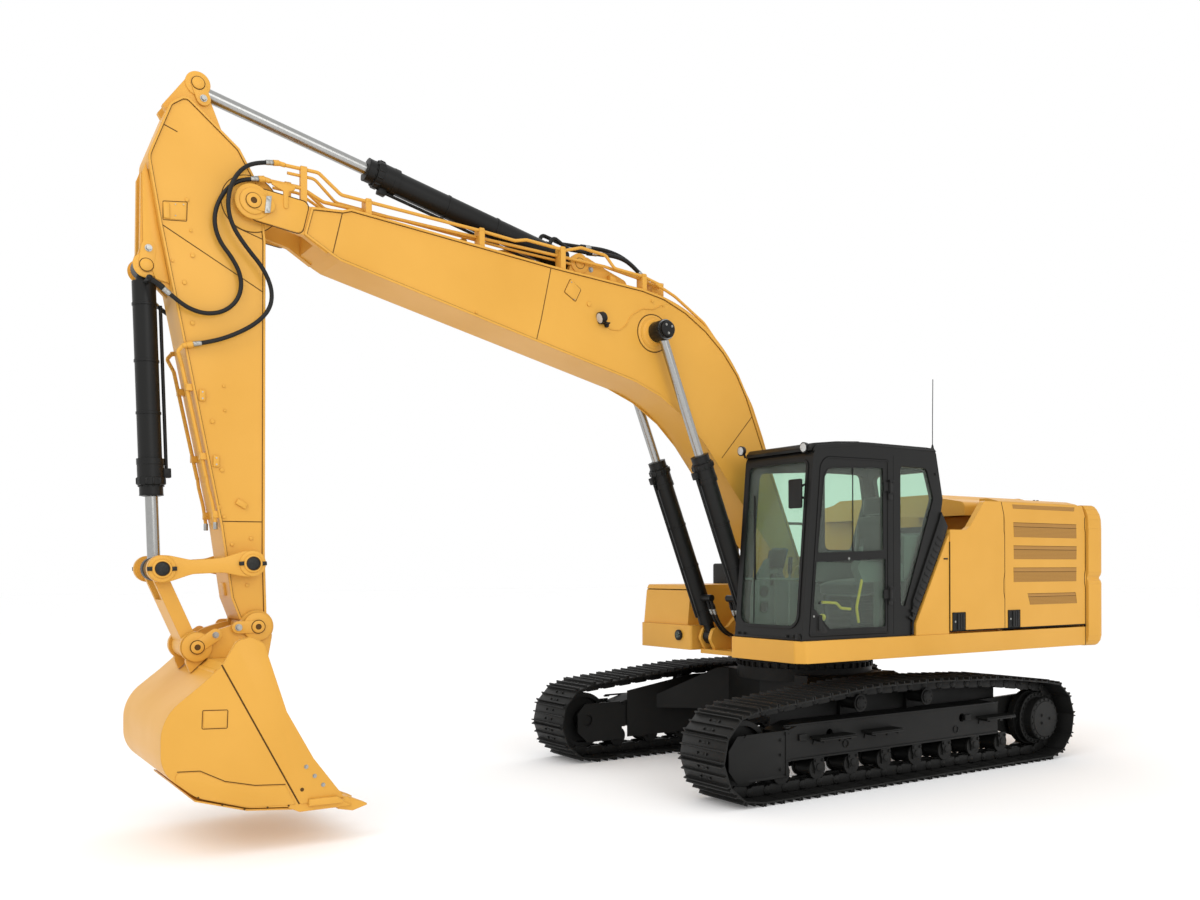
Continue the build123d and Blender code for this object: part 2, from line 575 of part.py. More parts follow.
def make_toolbox():
    """Front right box with a lid on top: open pan."""
    low = DECK_TOP + 55
    wall = 8
    rear = LOCKER_FRONT + 6
    box = along_y(outline((rear, DECK_TOP), (RIGHT_DECK_FRONT - 300, DECK_TOP), (RIGHT_DECK_FRONT - 300, low),
                          (1085, low), (1045, 1790, 30), (rear, 1790)), -HALF_WIDTH + 20, -615)
    return box - along_y(outline((rear + wall, low + wall), (1085 - wall, low + wall), (1045 - wall, 1800),
                                 (rear + wall, 1800)), -HALF_WIDTH + 20 + wall, -615 - wall)


def make_toolbox_lid():
    rear = LOCKER_FRONT + 6
    lid = along_y(outline((rear, 1790.3), (1043, 1790.3), (1020, 1838, 30), (rear, 1838)),
                  -HALF_WIDTH + 20, -615)
    return lid - along_y(outline((rear + 12, 1789), (1022, 1789), (1006, 1828), (rear + 12, 1828)),
                         -HALF_WIDTH + 32, -627)


# ---------------------------------------------------------------- cab
CAB_INNER = 478
CAB_OUTER = 1403
CAB_BOTTOM = DECK_TOP
CAB_WALL = 55
CAB_TOP = 3175
HATCH_REAR = -140
HATCH_FRONT = 540
DOOR_GAP = 6
# Side outline of the cab, front bottom corner first, as (x, z, rounding).
CAB_SIDE = ((1352, CAB_BOTTOM), (1200, 3100, 110), (600, 3175), (-430, 3175, 70), (-535, 2690, 60),
            (-470, 2330, 60), (-75, 1490, 60), (-75, CAB_BOTTOM))
DOOR_SIDE = ((1262, 1400, 30), (1112, 3020, 130), (238, 3030, 30), (238, 1400, 30))


def front_edge(z):
    """The windscreen's plane leans back: its x at a height."""
    return 1352 - (z - CAB_BOTTOM) * (1352 - 1200) / (3100 - CAB_BOTTOM)


def grown(points, amount, centre):
    """The same outline, moved away from its centre by about this amount."""
    result = []
    for point in points:
        u = point[0] + (amount if point[0] > centre[0] else -amount)
        v = point[1] + (amount if point[1] > centre[1] else -amount)
        result.append((u, v) + tuple(point[2:]))
    return result


UPPER_PANE = ((1165, 2140, 30), (1070, 2930, 130), (300, 2965, 30), (300, 2170, 30))
LOWER_PANE = ((1180, 2075, 20), (1215, 1640, 40), (1010, 1450, 30), (270, 1450, 30), (270, 2110, 20))
QUARTER_PANE = ((70, 2980, 30), (-300, 2980, 60), (-400, 2690, 80), (10, 1640, 25), (70, 1660, 25))
RIGHT_FRONT_PANE = ((1180, 1800, 60), (1075, 2930, 80), (300, 2980, 60), (300, 1800, 60))
RIGHT_REAR_PANE = ((210, 2980, 60), (-330, 2980, 60), (-380, 2690, 60), (-200, 2200, 60), (210, 2200, 60))
# Openings in front and rear, as (y, z, rounding).
SCREEN_PANE = ((CAB_INNER + 62, 1480, 120), (CAB_INNER + 62, 2985, 60), (CAB_OUTER - 62, 2985, 60),
               (CAB_OUTER - 62, 1480, 120))
BACK_PANE = ((CAB_INNER + 110, 2420, 60), (CAB_INNER + 110, 2960, 60), (CAB_OUTER - 110, 2960, 60),
             (CAB_OUTER - 110, 2420, 60))


def make_cab_shell():
    outer = along_y(outline(*CAB_SIDE), CAB_INNER, CAB_OUTER)
    wall = CAB_WALL
    inner = along_y(outline((1352 - wall, CAB_BOTTOM + 45), (1200 - wall, 3100 - wall, 60),
                            (600, CAB_TOP - wall), (-430 + wall, CAB_TOP - wall, 40), (-535 + wall, 2690),
                            (-470 + wall, 2345), (-75 + wall, 1500), (-75 + wall, CAB_BOTTOM + 45)),
                    CAB_INNER + wall, CAB_OUTER - wall)
    shell = outer - inner
    opening = grown(DOOR_SIDE, DOOR_GAP, (700, 2200))
    shell -= along_y(outline(*opening), CAB_OUTER - wall - 5, CAB_OUTER + 5)
    shell -= along_y(outline(*QUARTER_PANE), CAB_OUTER - wall - 5, CAB_OUTER + 5)
    for pane in (RIGHT_FRONT_PANE, RIGHT_REAR_PANE):
        shell -= along_y(outline(*pane), CAB_INNER - 5, CAB_INNER + wall + 5)
    shell -= along_x(outline(*SCREEN_PANE), 1130, 1400)
    shell -= along_x(outline(*BACK_PANE), -600, -330)
    shell += make_door_hinge_pins()
    shell -= block(HATCH_REAR + 20, HATCH_FRONT - 20, CAB_INNER + 170, CAB_OUTER - 170, 3090, 3250)
    return shell


GLASS = 6
GLASS_GAP = 1


def make_cab_glass():
    gap = GLASS_GAP
    glass = along_y(offset(outline(*QUARTER_PANE), -gap), CAB_OUTER - 24, CAB_OUTER - 24 + GLASS)
    for pane in (RIGHT_FRONT_PANE, RIGHT_REAR_PANE):
        glass += along_y(offset(outline(*pane), -gap), CAB_INNER + 18, CAB_INNER + 18 + GLASS)
    slab = along_y(outline((front_edge(1400) - 22, 1400), (front_edge(3020) - 22, 3020),
                           (front_edge(3020) - 22 - GLASS, 3020), (front_edge(1400) - 22 - GLASS, 1400)),
                   CAB_INNER, CAB_OUTER)
    glass += slab & along_x(offset(outline(*SCREEN_PANE), -gap), 1100, 1400)
    rear_slab = along_y(outline((-435, 3060), (-520, 2690), (-480, 2380), (-480 + GLASS, 2380),
                                (-520 + GLASS, 2690), (-435 + GLASS, 3060)), CAB_INNER, CAB_OUTER)
    return glass + (rear_slab & along_x(offset(outline(*BACK_PANE), -gap), -560, -400))


HINGE_X = 232
HINGE_Y = CAB_OUTER + 17
HINGE_PIN = 8
HINGE_HEIGHTS = (1765, 2780)


def make_door_hinge_pins():
    """On the cab: a pin for each hinge, held by a leaf above and below."""
    pins = None
    for z in HINGE_HEIGHTS:
        one = Pos(HINGE_X, HINGE_Y, z) * Cylinder(HINGE_PIN, 130)
        for end in BOTH_SIDES:
            one += block(HINGE_X - 60, HINGE_X, CAB_OUTER - 5, HINGE_Y + 10, z + end * 45, z + end * 65)
            one += block(HINGE_X - 5, HINGE_X + 12, CAB_OUTER + 3, HINGE_Y + 10, z + end * 45, z + end * 65)
        one += block(HINGE_X - 60, HINGE_X - 30, CAB_OUTER - 5, CAB_OUTER + 12, z - 65, z + 65)
        pins = one if pins is None else pins + one
    return pins


def make_door_knuckles():
    """On the door: a sleeve round each pin, on a leaf."""
    sleeves = None
    for z in HINGE_HEIGHTS:
        one = Pos(HINGE_X, HINGE_Y, z) * Cylinder(15, 84)
        one += block(HINGE_X, HINGE_X + 80, CAB_OUTER, CAB_OUTER + 14, z - 42, z + 42)
        one -= Pos(HINGE_X, HINGE_Y, z) * Cylinder(HINGE_PIN + PIN_GAP, 90)
        sleeves = one if sleeves is None else sleeves + one
    return sleeves


def make_cab_door():
    door = along_y(outline(*DOOR_SIDE), CAB_OUTER - 45, CAB_OUTER) + make_door_knuckles()
    door -= along_y(outline(*UPPER_PANE), CAB_OUTER - 50, CAB_OUTER + 5)
    door -= along_y(outline(*LOWER_PANE), CAB_OUTER - 50, CAB_OUTER + 5)
    return door


def make_cab_door_glass():
    glass = None
    for pane in (UPPER_PANE, LOWER_PANE):
        sheet = along_y(offset(outline(*pane), -GLASS_GAP), CAB_OUTER - 24, CAB_OUTER - 24 + GLASS)
        glass = sheet if glass is None else glass + sheet
    return glass


def make_roof_hatch():
    plate = block(HATCH_REAR, HATCH_FRONT, CAB_INNER + 150, CAB_OUTER - 150, CAB_TOP + 0.3, CAB_TOP + 30)
    return fillet(plate.edges().filter_by(Axis.Z), 40)


FLOOR = CAB_BOTTOM + 45


def make_seat():
    middle = (CAB_INNER + CAB_OUTER) / 2
    seat = block(-20, 420, middle - 150, middle + 150, FLOOR, 1750)
    seat += along_y(outline((-60, 1750), (470, 1750), (500, 1850, 50), (460, 1900, 50), (-20, 1880)),
                    middle - 260, middle + 260)
    seat += along_y(outline((-60, 1880), (90, 1880), (20, 2360, 50), (-20, 2540, 40), (-110, 2540, 40),
                            (-150, 1880)), middle - 240, middle + 240)
    seat += along_y(outline((-115, 2530), (-25, 2530), (-35, 2720, 40), (-115, 2720, 40)),
                    middle - 140, middle + 140)
    return seat


def make_consoles():
    middle = (CAB_INNER + CAB_OUTER) / 2
    both_arms = None
    for side in BOTH_SIDES:
        y = middle + side * 325
        arm = along_y(outline((-100, 1880), (480, 1880), (560, 2020, 60), (520, 2080, 40), (-60, 2060, 40)),
                      y - 48, y + 48)
        arm += block(60, 260, y - 35, y + 35, FLOOR, 1900)
        arm += Pos(460, y, 2150) * Cylinder(22, 180)
        both_arms = arm if both_arms is None else both_arms + arm
    screen = Pos(960, CAB_INNER + CAB_WALL + 110, 2080) * Rot(0, -20, 0) * Box(50, 180, 260)
    post = block(940, 985, CAB_INNER + CAB_WALL + 90, CAB_INNER + CAB_WALL + 130, FLOOR, 1975)
    return both_arms + screen + post


def make_travel_levers():
    middle = (CAB_INNER + CAB_OUTER) / 2
    levers = None
    for side in BOTH_SIDES:
        y = middle + side * 75
        lever = Pos(1000, y, FLOOR + 300) * Cylinder(12, 600)
        lever += block(880, 1080, y - 50, y + 50, FLOOR, FLOOR + 40)
        levers = lever if levers is None else levers + lever
    return levers


def tube(points, radius, tube_radius):
    """A bent round bar through points, with one bend radius."""
    path = FilletPolyline(*points, radius=radius)
    start = path.position_at(0)
    direction = path.tangent_at(0)
    return sweep(Plane(origin=start, z_dir=direction) * Circle(tube_radius), path=path)


def make_handrails():
    """Rail on top of the fuel and hydraulic tanks."""
    y = -HALF_WIDTH + 70
    return tube([(-230, y, TANK_TOP), (-230, y, 2560), (-1330, y, 2560), (-1330, y, TANK_TOP + 90)], 90, 17)


# ---------------------------------------------------------------- boom, stick and bucket
# Side outlines of boom and stick, as (x, z, rounding).
BOOM_SIDE = ((5365, 4812), (5120, 4830), (5049, 4855), (3229, 4686), (1330, 4555, 1500), (205, 1935),
             (455, 1935), (1269, 2914), (1850, 3625, 1500), (5140, 4429), (5200, 4460), (5424, 4590))
BOOM_FORK = ((5240, 4470), (5424, 4585), (5700, 4650), (5811, 4771), (5811, 4885), (5365, 4812), (5240, 4822))
STICK_SIDE = ((6270, 5485, 60), (6380, 5400, 60), (6533, 4990, 120), (6455, 4521), (6034, 2340), (5960, 1800),
              (5900, 1640), (5784, 1585), (5700, 1640), (5712, 2129), (5700, 4500), (5738, 4902),
              (5891, 5169))


def make_boom():
    box = along_y(outline(*BOOM_SIDE), -BOOM_HALF, BOOM_HALF)
    hollow_half = STICK_HALF + SIDE_GAP
    # fork at the tip
    fork = outline(*BOOM_FORK)
    cut = outline((5330, 4300), (6100, 4300), (6100, 5100), (5330, 5100))
    boom = box - along_y(cut, -hollow_half, hollow_half)
    for end in BOTH_SIDES:
        boom += along_y(fork + disc(BOOM_TIP, 118), end * hollow_half, end * (hollow_half + 55))
        boom += along_y(disc(BOOM_TIP, 88), end * (hollow_half + 55), end * (hollow_half + 80))
        boom += along_y(disc(BOOM_ROD_PIN, 150), end * BOOM_HALF, end * (BOOM_HALF + 18))
        boom += along_y(disc(BOOM_ROD_PIN, 98), end * BOOM_HALF, end * (BOOM_HALF + 39))
        boom += along_y(disc(BOOM_FOOT, 165), 0, end * FOOT_HALF)
        lug = outline((2300, 4590), (3070, 4590), (2975, 4700, 30), (2950, 4800), (2780, 4860),
                      (2555, 4772, 80), (2357, 4704, 60))
        lug += disc(STICK_CYL_PIN, 90)
        boom += along_y(lug, end * (EYE_HALF + SIDE_GAP), end * (EYE_HALF + SIDE_GAP + 45))
    inside = outline((5000, 4800), (3229, 4640), (1420, 4480, 1400), (420, 2160), (560, 2160),
                     (1300, 3020), (1880, 3680, 1500), (5000, 4440))
    boom -= along_y(inside, -BOOM_HALF + 14, BOOM_HALF - 14)
    boom -= pin(BOOM_FOOT, FOOT_PIN_RADIUS + PIN_GAP, FOOT_HALF + 1)
    boom += pin(BOOM_TIP, TIP_PIN_RADIUS, hollow_half + 92)
    boom += pin(STICK_CYL_PIN, CYLINDER_PIN_RADIUS, EYE_HALF + SIDE_GAP + 50)
    return boom


BORE_START = 42               # bore of a barrel begins this far above its eye


def eye(centre, radius, half, hole, y=0):
    ring = disc(centre, radius) - disc(centre, hole)
    return along_y(ring, y - half, y + half)


GLAND_CAP = 70                # the narrower cap in front of a barrel's collar


def make_barrel(base, tip, length, radius, collar, bore, eye_radius, y=0, neck=160):
    """A cylinder's barrel, from its eye at base to its gland, towards tip."""
    body = eye(base, eye_radius, EYE_HALF, CYLINDER_PIN_RADIUS + PIN_GAP, y)
    body += rod_shape(base, tip, eye_radius - 12, neck + 5, EYE_HALF - 1, y)
    body += rod_shape(base, tip, neck, length, radius, y)
    body += rod_shape(base, tip, length - 190, length, collar, y)
    body += rod_shape(base, tip, length, length + GLAND_CAP, radius, y)
    body -= along_y(disc(base, CYLINDER_PIN_RADIUS + PIN_GAP), y - EYE_HALF, y + EYE_HALF)
    body -= rod_shape(base, tip, eye_radius + BORE_START, length + GLAND_CAP + 1, bore + PIN_GAP, y)
    return body


BOOM_BARREL = 1840            # barrels, from the eye's pin to the collar's front
STICK_BARREL = 1965
BUCKET_BARREL = 1580
BOOM_ROD = 1990              # rods, from the eye's pin to the piston's end
STICK_ROD = 2080
BUCKET_ROD = 1500


def make_boom_barrels():
    """Both boom cylinders, each with a port block on its inner side that its two hoses start from."""
    along = unit(BOOM_CYL_PIN, BOOM_ROD_PIN)

    def one(side):
        barrel = make_barrel(BOOM_CYL_PIN, BOOM_ROD_PIN, BOOM_BARREL, 88, 98, 44, 80, side * CYLINDER_Y)
        start, after = BOOM_CYLINDER_ROUTE[:2]
        for y in BOOM_HOSE_Y:
            end = (start[0], side * y, start[1])
            top = (start[0] + along[0] * 150, side * y, start[1] + along[1] * 150)
            barrel += crimp(end, (after[0], side * y, after[1]))
            barrel += bar(behind(end, (after[0], side * y, after[1])), top, PIPE_RADIUS)
        block_at = (start[0] + along[0] * 120, start[1] + along[1] * 120)
        reach = along_y(disc(block_at, 34), side * (BOOM_HOSE_Y[1] - 25), side * (CYLINDER_Y - 60))
        return barrel + (reach - rod_shape(BOOM_CYL_PIN, BOOM_ROD_PIN, 0, BOOM_BARREL, 70, side * CYLINDER_Y))
    return both(one)


def rod_length(base, tip):
    return hypot(tip[0] - base[0], tip[1] - base[1])


def make_boom_rods():
    def one(side):
        y = side * CYLINDER_Y
        whole = rod_length(BOOM_CYL_PIN, BOOM_ROD_PIN)
        inner = BOOM_HALF + 39 + SIDE_GAP
        rod = rod_shape(BOOM_CYL_PIN, BOOM_ROD_PIN, whole - BOOM_ROD, whole - 60, 44, y)
        rod += along_y(disc(BOOM_ROD_PIN, 92), side * inner, side * (CYLINDER_Y + 88))
        rod += along_y(disc(BOOM_ROD_PIN, 80), side * (CYLINDER_Y + 88), side * (CYLINDER_Y + 106))
        return rod
    return both(one)


def make_stick_barrel():
    barrel = make_barrel(STICK_CYL_PIN, STICK_ROD_PIN, STICK_BARREL, 96, 108, 50, 85, neck=108)
    for route, rise in zip(STICK_CYLINDER_ROUTES, (0, 45)):
        end, after = route[:2]
        start = behind(end, after)
        knee = behind(end, after, 250)
        y = end[1]
        barrel += tube([start, (knee[0], knee[1], knee[2] + 8), (3120 + rise, y, 5000 + rise),
                        (3160 + rise, y * 0.8, 4900)], 40, LINE_RADIUS + 4)
        barrel += crimp(end, after, FITTING_RADIUS + 3)
    return barrel - rod_shape(STICK_CYL_PIN, STICK_ROD_PIN, 85 + BORE_START, STICK_BARREL, 50 + PIN_GAP)


def make_stick_rod():
    whole = rod_length(STICK_CYL_PIN, STICK_ROD_PIN)
    rod = rod_shape(STICK_CYL_PIN, STICK_ROD_PIN, whole - STICK_ROD, whole - 60, 50)
    rod += along_y(disc(STICK_ROD_PIN, 82), -EYE_HALF, EYE_HALF)
    return rod


def make_bucket_barrel():
    """The bucket cylinder's barrel, with a port pipe to each side for its hoses."""
    barrel = make_barrel(BUCKET_CYL_PIN, LINK_JOINT, BUCKET_BARREL, 82, 92, 45, 78, neck=98)
    port = between(BUCKET_CYL_PIN, LINK_JOINT, 116)
    for side in BOTH_SIDES:
        before, end = [(x, side * y, z) for x, y, z in BUCKET_CYLINDER_ROUTE[-2:]]
        barrel += along_y(disc(port, 18), side * 60, side * (PORT_Y + 18))
        barrel += Pos(port[0], side * (PORT_Y + 14), port[1]) * Sphere(25)
        barrel += crimp(end, before)
        barrel += bar((port[0], side * (PORT_Y + 14), port[1]), behind(end, before), PIPE_RADIUS)
    return barrel


def make_bucket_rod():
    whole = rod_length(BUCKET_CYL_PIN, LINK_JOINT)
    rod = rod_shape(BUCKET_CYL_PIN, LINK_JOINT, whole - BUCKET_ROD, whole - 60, 45)
    rod += along_y(disc(LINK_JOINT, 84), -EYE_HALF, EYE_HALF)
    return rod


LUG_GAP = EYE_HALF + SIDE_GAP


def make_stick():
    stick = along_y(outline(*STICK_SIDE), -STICK_HALF, STICK_HALF)
    inside = outline((6240, 5430), (6340, 5350), (6490, 4980), (6415, 4521), (6000, 2400), (5750, 2400),
                     (5745, 4500), (5780, 4902), (5930, 5160))
    stick -= along_y(inside, -STICK_HALF + 20, STICK_HALF - 20)
    top = outline((5990, 5260), (6109, 5560), (6150, 5676, 60), (6225, 5676, 60), (6420, 5400), (6330, 5250))
    front = outline((6440, 4960), (6566, 4884, 40), (6574, 4330), (6609, 4215, 60), (6570, 4140, 40),
                    (6480, 4150, 40), (6350, 4020))
    for end in BOTH_SIDES:
        stick += along_y(top, end * LUG_GAP, end * (LUG_GAP + 50))
        stick += along_y(front, end * LUG_GAP, end * (LUG_GAP + 45))
        stick += along_y(disc(BOOM_TIP, 165), end * 40, end * STICK_HALF)
        stick += along_y(disc(BUCKET_PIN, 100), end * 1, end * STICK_HALF)
        stick += along_y(disc(IDLER_PIN, 95), end * 1, end * (STICK_HALF + 50))
    stick += pin(BUCKET_PIN, 100, STICK_HALF)
    stick += pin(IDLER_PIN, 95, STICK_HALF)
    stick += pin(BOOM_TIP, 150, STICK_HALF)
    stick -= pin(BOOM_TIP, TIP_PIN_RADIUS + PIN_GAP, STICK_HALF + 1)
    stick -= pin(BUCKET_PIN, BUCKET_PIN_RADIUS + PIN_GAP, STICK_HALF + 1)
    stick -= pin(IDLER_PIN, BUCKET_PIN_RADIUS + PIN_GAP, STICK_HALF + 60)
    # the stick cylinder's eye and rod pass between the top lugs
    stick += pin(BUCKET_CYL_PIN, CYLINDER_PIN_RADIUS, LUG_GAP + 48)
    return stick


IDLER_IN = STICK_HALF + 50 + 10
IDLER_OUT = IDLER_IN + LINK_PLATE


def make_idler_links():
    """Two dog-bone links outside the stick, joined by their pin through it."""
    bar = outline((IDLER_PIN[0], IDLER_PIN[1] - 55), (LINK_JOINT[0], LINK_JOINT[1] - 50),
                  (LINK_JOINT[0], LINK_JOINT[1] + 50), (IDLER_PIN[0], IDLER_PIN[1] + 55))
    bar += disc(IDLER_PIN, 98) + disc(LINK_JOINT, 98)
    links = None
    for end in BOTH_SIDES:
        link = along_y(bar, end * IDLER_IN, end * IDLER_OUT)
        link += along_y(disc(LINK_JOINT, 48), end * (STICK_HALF + 3), end * (IDLER_OUT + 12))
        links = link if links is None else links + link
    return links + pin(IDLER_PIN, BUCKET_PIN_RADIUS, IDLER_OUT + 12)


def make_power_link():
    """H-shaped link: two eyes beside the rod above, one wide boss between the bucket ears below."""
    along = unit(POWER_PIN, LINK_JOINT)
    across = (-along[1], along[0])
    inner = EYE_HALF + 8
    outer = STICK_HALF - 5
    near, far = 38, 62           # edges either side of the pins' line, near and far from the stick

    def corner(base, shift, side):
        half = near if side > 0 else far
        return (base[0] + along[0] * shift + across[0] * side * half,
                base[1] + along[1] * shift + across[1] * side * half)
    arm = outline(corner(POWER_PIN, 0, -1), corner(POWER_PIN, 0, 1), corner(LINK_JOINT, 0, 1),
                  corner(LINK_JOINT, 0, -1))
    web = outline(corner(POWER_PIN, 0, -1), corner(POWER_PIN, 0, 1), corner(POWER_PIN, 400, 1),
                  corner(POWER_PIN, 400, -1))
    link = None
    for end in BOTH_SIDES:
        side = along_y(arm, end * (outer - 50), end * outer)
        side += along_y(disc(LINK_JOINT, 62), end * inner, end * outer)
        link = side if link is None else link + side
    link += along_y(web, -outer + 20, outer - 20) - along_y(disc(LINK_JOINT, 200), -200, 200)
    link += along_y(disc(POWER_PIN, 92), -STICK_HALF, STICK_HALF)
    return link - pin(POWER_PIN, BUCKET_PIN_RADIUS + PIN_GAP, STICK_HALF + 1)


# Side plate of the bucket, from the top of its mouth round its back, as (x, z, rounding).
BUCKET_SIDE = ((5871, 1495, 60), (5960, 1541, 50), (6060, 1515, 60), (6150, 1350, 80), (6290, 1225, 300),
               (6560, 1010, 320), (6560, 640, 260), (6330, 445, 300), (5984, 335, 300), (5621, 300),
               (5290, 330), (5519, 640, 200), (5712, 993, 200))
BUCKET_WALL = 28
LIP = ((5230, 262), (5621, 262), (5700, 300), (5700, 345), (5290, 300))


def make_bucket():
    half = BUCKET_HALF
    whole = along_y(outline(*BUCKET_SIDE), -half, half)
    room = outline((5700, 1330), (6070, 1330), (6240, 1205, 280), (6520, 990, 300), (6520, 660, 240),
                   (6310, 485, 280), (5980, 378, 280), (5621, 345), (5000, 375), (5000, 1330))
    shell = whole - along_y(room, -half + BUCKET_WALL, half - BUCKET_WALL)
    shell -= block(5600, 6140, -half + BUCKET_WALL, half - BUCKET_WALL, 1362, 1700)
    shell -= block(6040, 6240, -half + BUCKET_WALL, half - BUCKET_WALL, 1362, 1700)
    return shell + along_y(outline(*LIP), -half, half)


def make_bucket_ears():
    inner = STICK_HALF + SIDE_GAP
    ear = outline((5700, 1362), (5664, 1560, 60), (5784, 1585), (5900, 1620, 200), (6100, 1560, 200),
                  (6220, 1449), (6300, 1360, 60), (6260, 1262), (6150, 1362))
    ear += disc(BUCKET_PIN, 122) + disc(POWER_PIN, 112)
    room = block(5000, 7000, -1000, 1000, 0, 1362)
    ears = None
    for end in BOTH_SIDES:
        plate = along_y(ear, end * inner, end * (inner + EAR_PLATE))
        plate += along_y(disc(BUCKET_PIN, 72), end * (inner + EAR_PLATE), end * (inner + EAR_PLATE + 22))
        plate += along_y(disc(POWER_PIN, 72), end * (inner + EAR_PLATE), end * (inner + EAR_PLATE + 22))
        ears = plate if ears is None else ears + plate
    ears -= along_y(outline(*BUCKET_SIDE) & outline((5000, 0), (7000, 0), (7000, 1362.3), (5000, 1362.3)),
                    -1000, 1000)
    reach = inner + EAR_PLATE + 22
    return ears + pin(BUCKET_PIN, BUCKET_PIN_RADIUS, reach) + pin(POWER_PIN, BUCKET_PIN_RADIUS, reach)


TOOTH_COUNT = 5


def make_bucket_teeth():
    tooth = outline((5330, 245), (5330, 320), (5240, 322), (5110, 262), (5110, 250), (5220, 220))
    gap = outline(*LIP)
    pitch = (2 * BUCKET_HALF - 130) / (TOOTH_COUNT - 1)
    teeth = None
    for number in range(TOOTH_COUNT):
        y = -BUCKET_HALF + 65 + number * pitch
        one = along_y(tooth - gap, y - 50, y + 50)
        teeth = one if teeth is None else teeth + one
    return teeth


# ---------------------------------------------------------------- hydraulic hoses and their fittings
ARM_HOSE = 32                # diameter of the hoses between boom and stick
CYLINDER_HOSE = 40
BOOM_HOSE = 30
FITTING_RADIUS = 22
PIPE_RADIUS = 18             # pipes between fittings and lines
LINE_RADIUS = 14             # steel lines
PORT_Y = 205                 # end of the bucket cylinder's port pipes

# Corners of each hose's route on the left, as (x, y, z); the right ones mirror y.
STICK_LINE_ROUTE = (
    (5650, 200, 5103), (5775, 214, 5080), (5900, 240, 4995), (5980, 258, 4850), (6003, 264, 4690),
    (5965, 263, 4545), (5862, 258, 4408), (5738, 250, 4278), (5668, 242, 4125), (5682, 234, 3980),
    (5790, 225, 3855), (5950, 215, 3755), (6105, 203, 3690), (6232, 195, 3660))
BUCKET_CYLINDER_ROUTE = (
    (5762, 212, 4953), (5862, 212, 4937), (5962, 213, 4875), (6038, 214, 4770), (6082, 215, 4645),
    (6080, 215, 4530), (6038, 214, 4425), (5960, 212, 4335), (5900, 210, 4230), (5886, 208, 4115),
    (5926, 207, 4005), (6013, 208, 3925), (6125, 212, 3890), (6240, 216, 3903), (6345, 221, 3958),
    (6440, 224, 4034))
STICK_CYLINDER_ROUTES = (
    ((2712, 72, 4916), (2590, 72, 4922), (2460, 71, 4930), (2335, 70, 4912), (2225, 68, 4856),
     (2135, 67, 4786)),
    ((2700, -60, 5004), (2575, -60, 5013), (2445, -61, 5010), (2315, -62, 4988), (2200, -63, 4940),
     (2095, -64, 4872), (2010, -65, 4792)))
BOOM_CYLINDER_ROUTE = ((1105, 1600), (1058, 1490), (988, 1397), (901, 1331), (806, HOSE_BULKHEAD_Z))


def hose_path(points):
    """The hose's centre line: each bend as large as its two runs allow."""
    corners = [Vector(*p) for p in points]
    runs = [corners[i + 1] - corners[i] for i in range(len(corners) - 1)]
    radii = []
    for before, after in zip(runs, runs[1:]):
        turn = before.get_angle(after) * pi / 180
        radii.append(0.45 * min(before.length, after.length) / tan(turn / 2))
    return FilletPolyline(*points, radius=radii), radii


def make_hose(name, points, diameter):
    path, radii = hose_path(points)
    start = Plane(origin=path.position_at(0), z_dir=path.tangent_at(0))
    hose = sweep(start * Circle(diameter / 2), path=path)
    section = pi * diameter ** 2 / 4
    share = hose.volume / section / path.length
    print(name, "length", round(path.length, 1), "volume share", round(share, 5),
          "radii", [round(radius) for radius in radii])
    return hose


def mirrored(points):
    return tuple((x, -y, z) for x, y, z in points)


def bar(start, end, radius):
    """A round bar between two points."""
    direction = Vector(*end) - Vector(*start)
    return extrude(Plane(origin=start, z_dir=direction) * Circle(radius), amount=direction.length)


CRIMP_LENGTH = 45             # a hose's end fitting, in line with the hose
CRIMP_GAP = 0.3


def behind(end, neighbour, distance=CRIMP_LENGTH - 5):
    """The place this far behind a hose's end, in line with the run that ends there."""
    away = (Vector(*end) - Vector(*neighbour)).normalized()
    place = Vector(*end) + away * distance
    return place.X, place.Y, place.Z


def crimp(end, neighbour, radius=FITTING_RADIUS):
    """End fitting of a hose, which just clears the hose's end."""
    return bar(behind(end, neighbour, CRIMP_GAP), behind(end, neighbour, CRIMP_LENGTH), radius)


def make_boom_line_fittings():
    """Steel lines along the boom's top, their brackets, end fittings and the bulkhead at the hump."""
    under = along_y(outline(*BOOM_SIDE) + outline(*BOOM_FORK), -400, 400)
    parts = None
    for side in BOTH_SIDES:
        upper = [(x, side * 200, z) for x, z in UPPER_LINE]
        lower = [(x, side * y, z) for x, y, z in LOWER_LINE]
        one = tube(upper, 60, LINE_RADIUS) + tube(lower, 60, LINE_RADIUS)
        for line, route in ((upper, STICK_LINE_ROUTE), (lower, BUCKET_CYLINDER_ROUTE)):
            end, after = [(x, side * y, z) for x, y, z in route[:2]]
            one += crimp(end, after) + bar(line[0], behind(end, after), PIPE_RADIUS)
        for x in LINE_BRACKETS:
            one += block(x - 25, x + 25, side * 125, side * 222, 4500, line_height(x) + 12) - under
        one += block(5395, 5445, side * 185, side * 222, 4700, 5118) - under
        parts = one if parts is None else parts + one
    bulkhead = block(1925, 2060, -120, 120, 4500, 4740) - under
    for route in STICK_CYLINDER_ROUTES:
        end, before = route[-1], route[-2]
        bulkhead += crimp(end, before, FITTING_RADIUS + 3)
        bulkhead += bar(behind(end, before), behind(end, before, 80), FITTING_RADIUS + 3)
    return parts + bulkhead


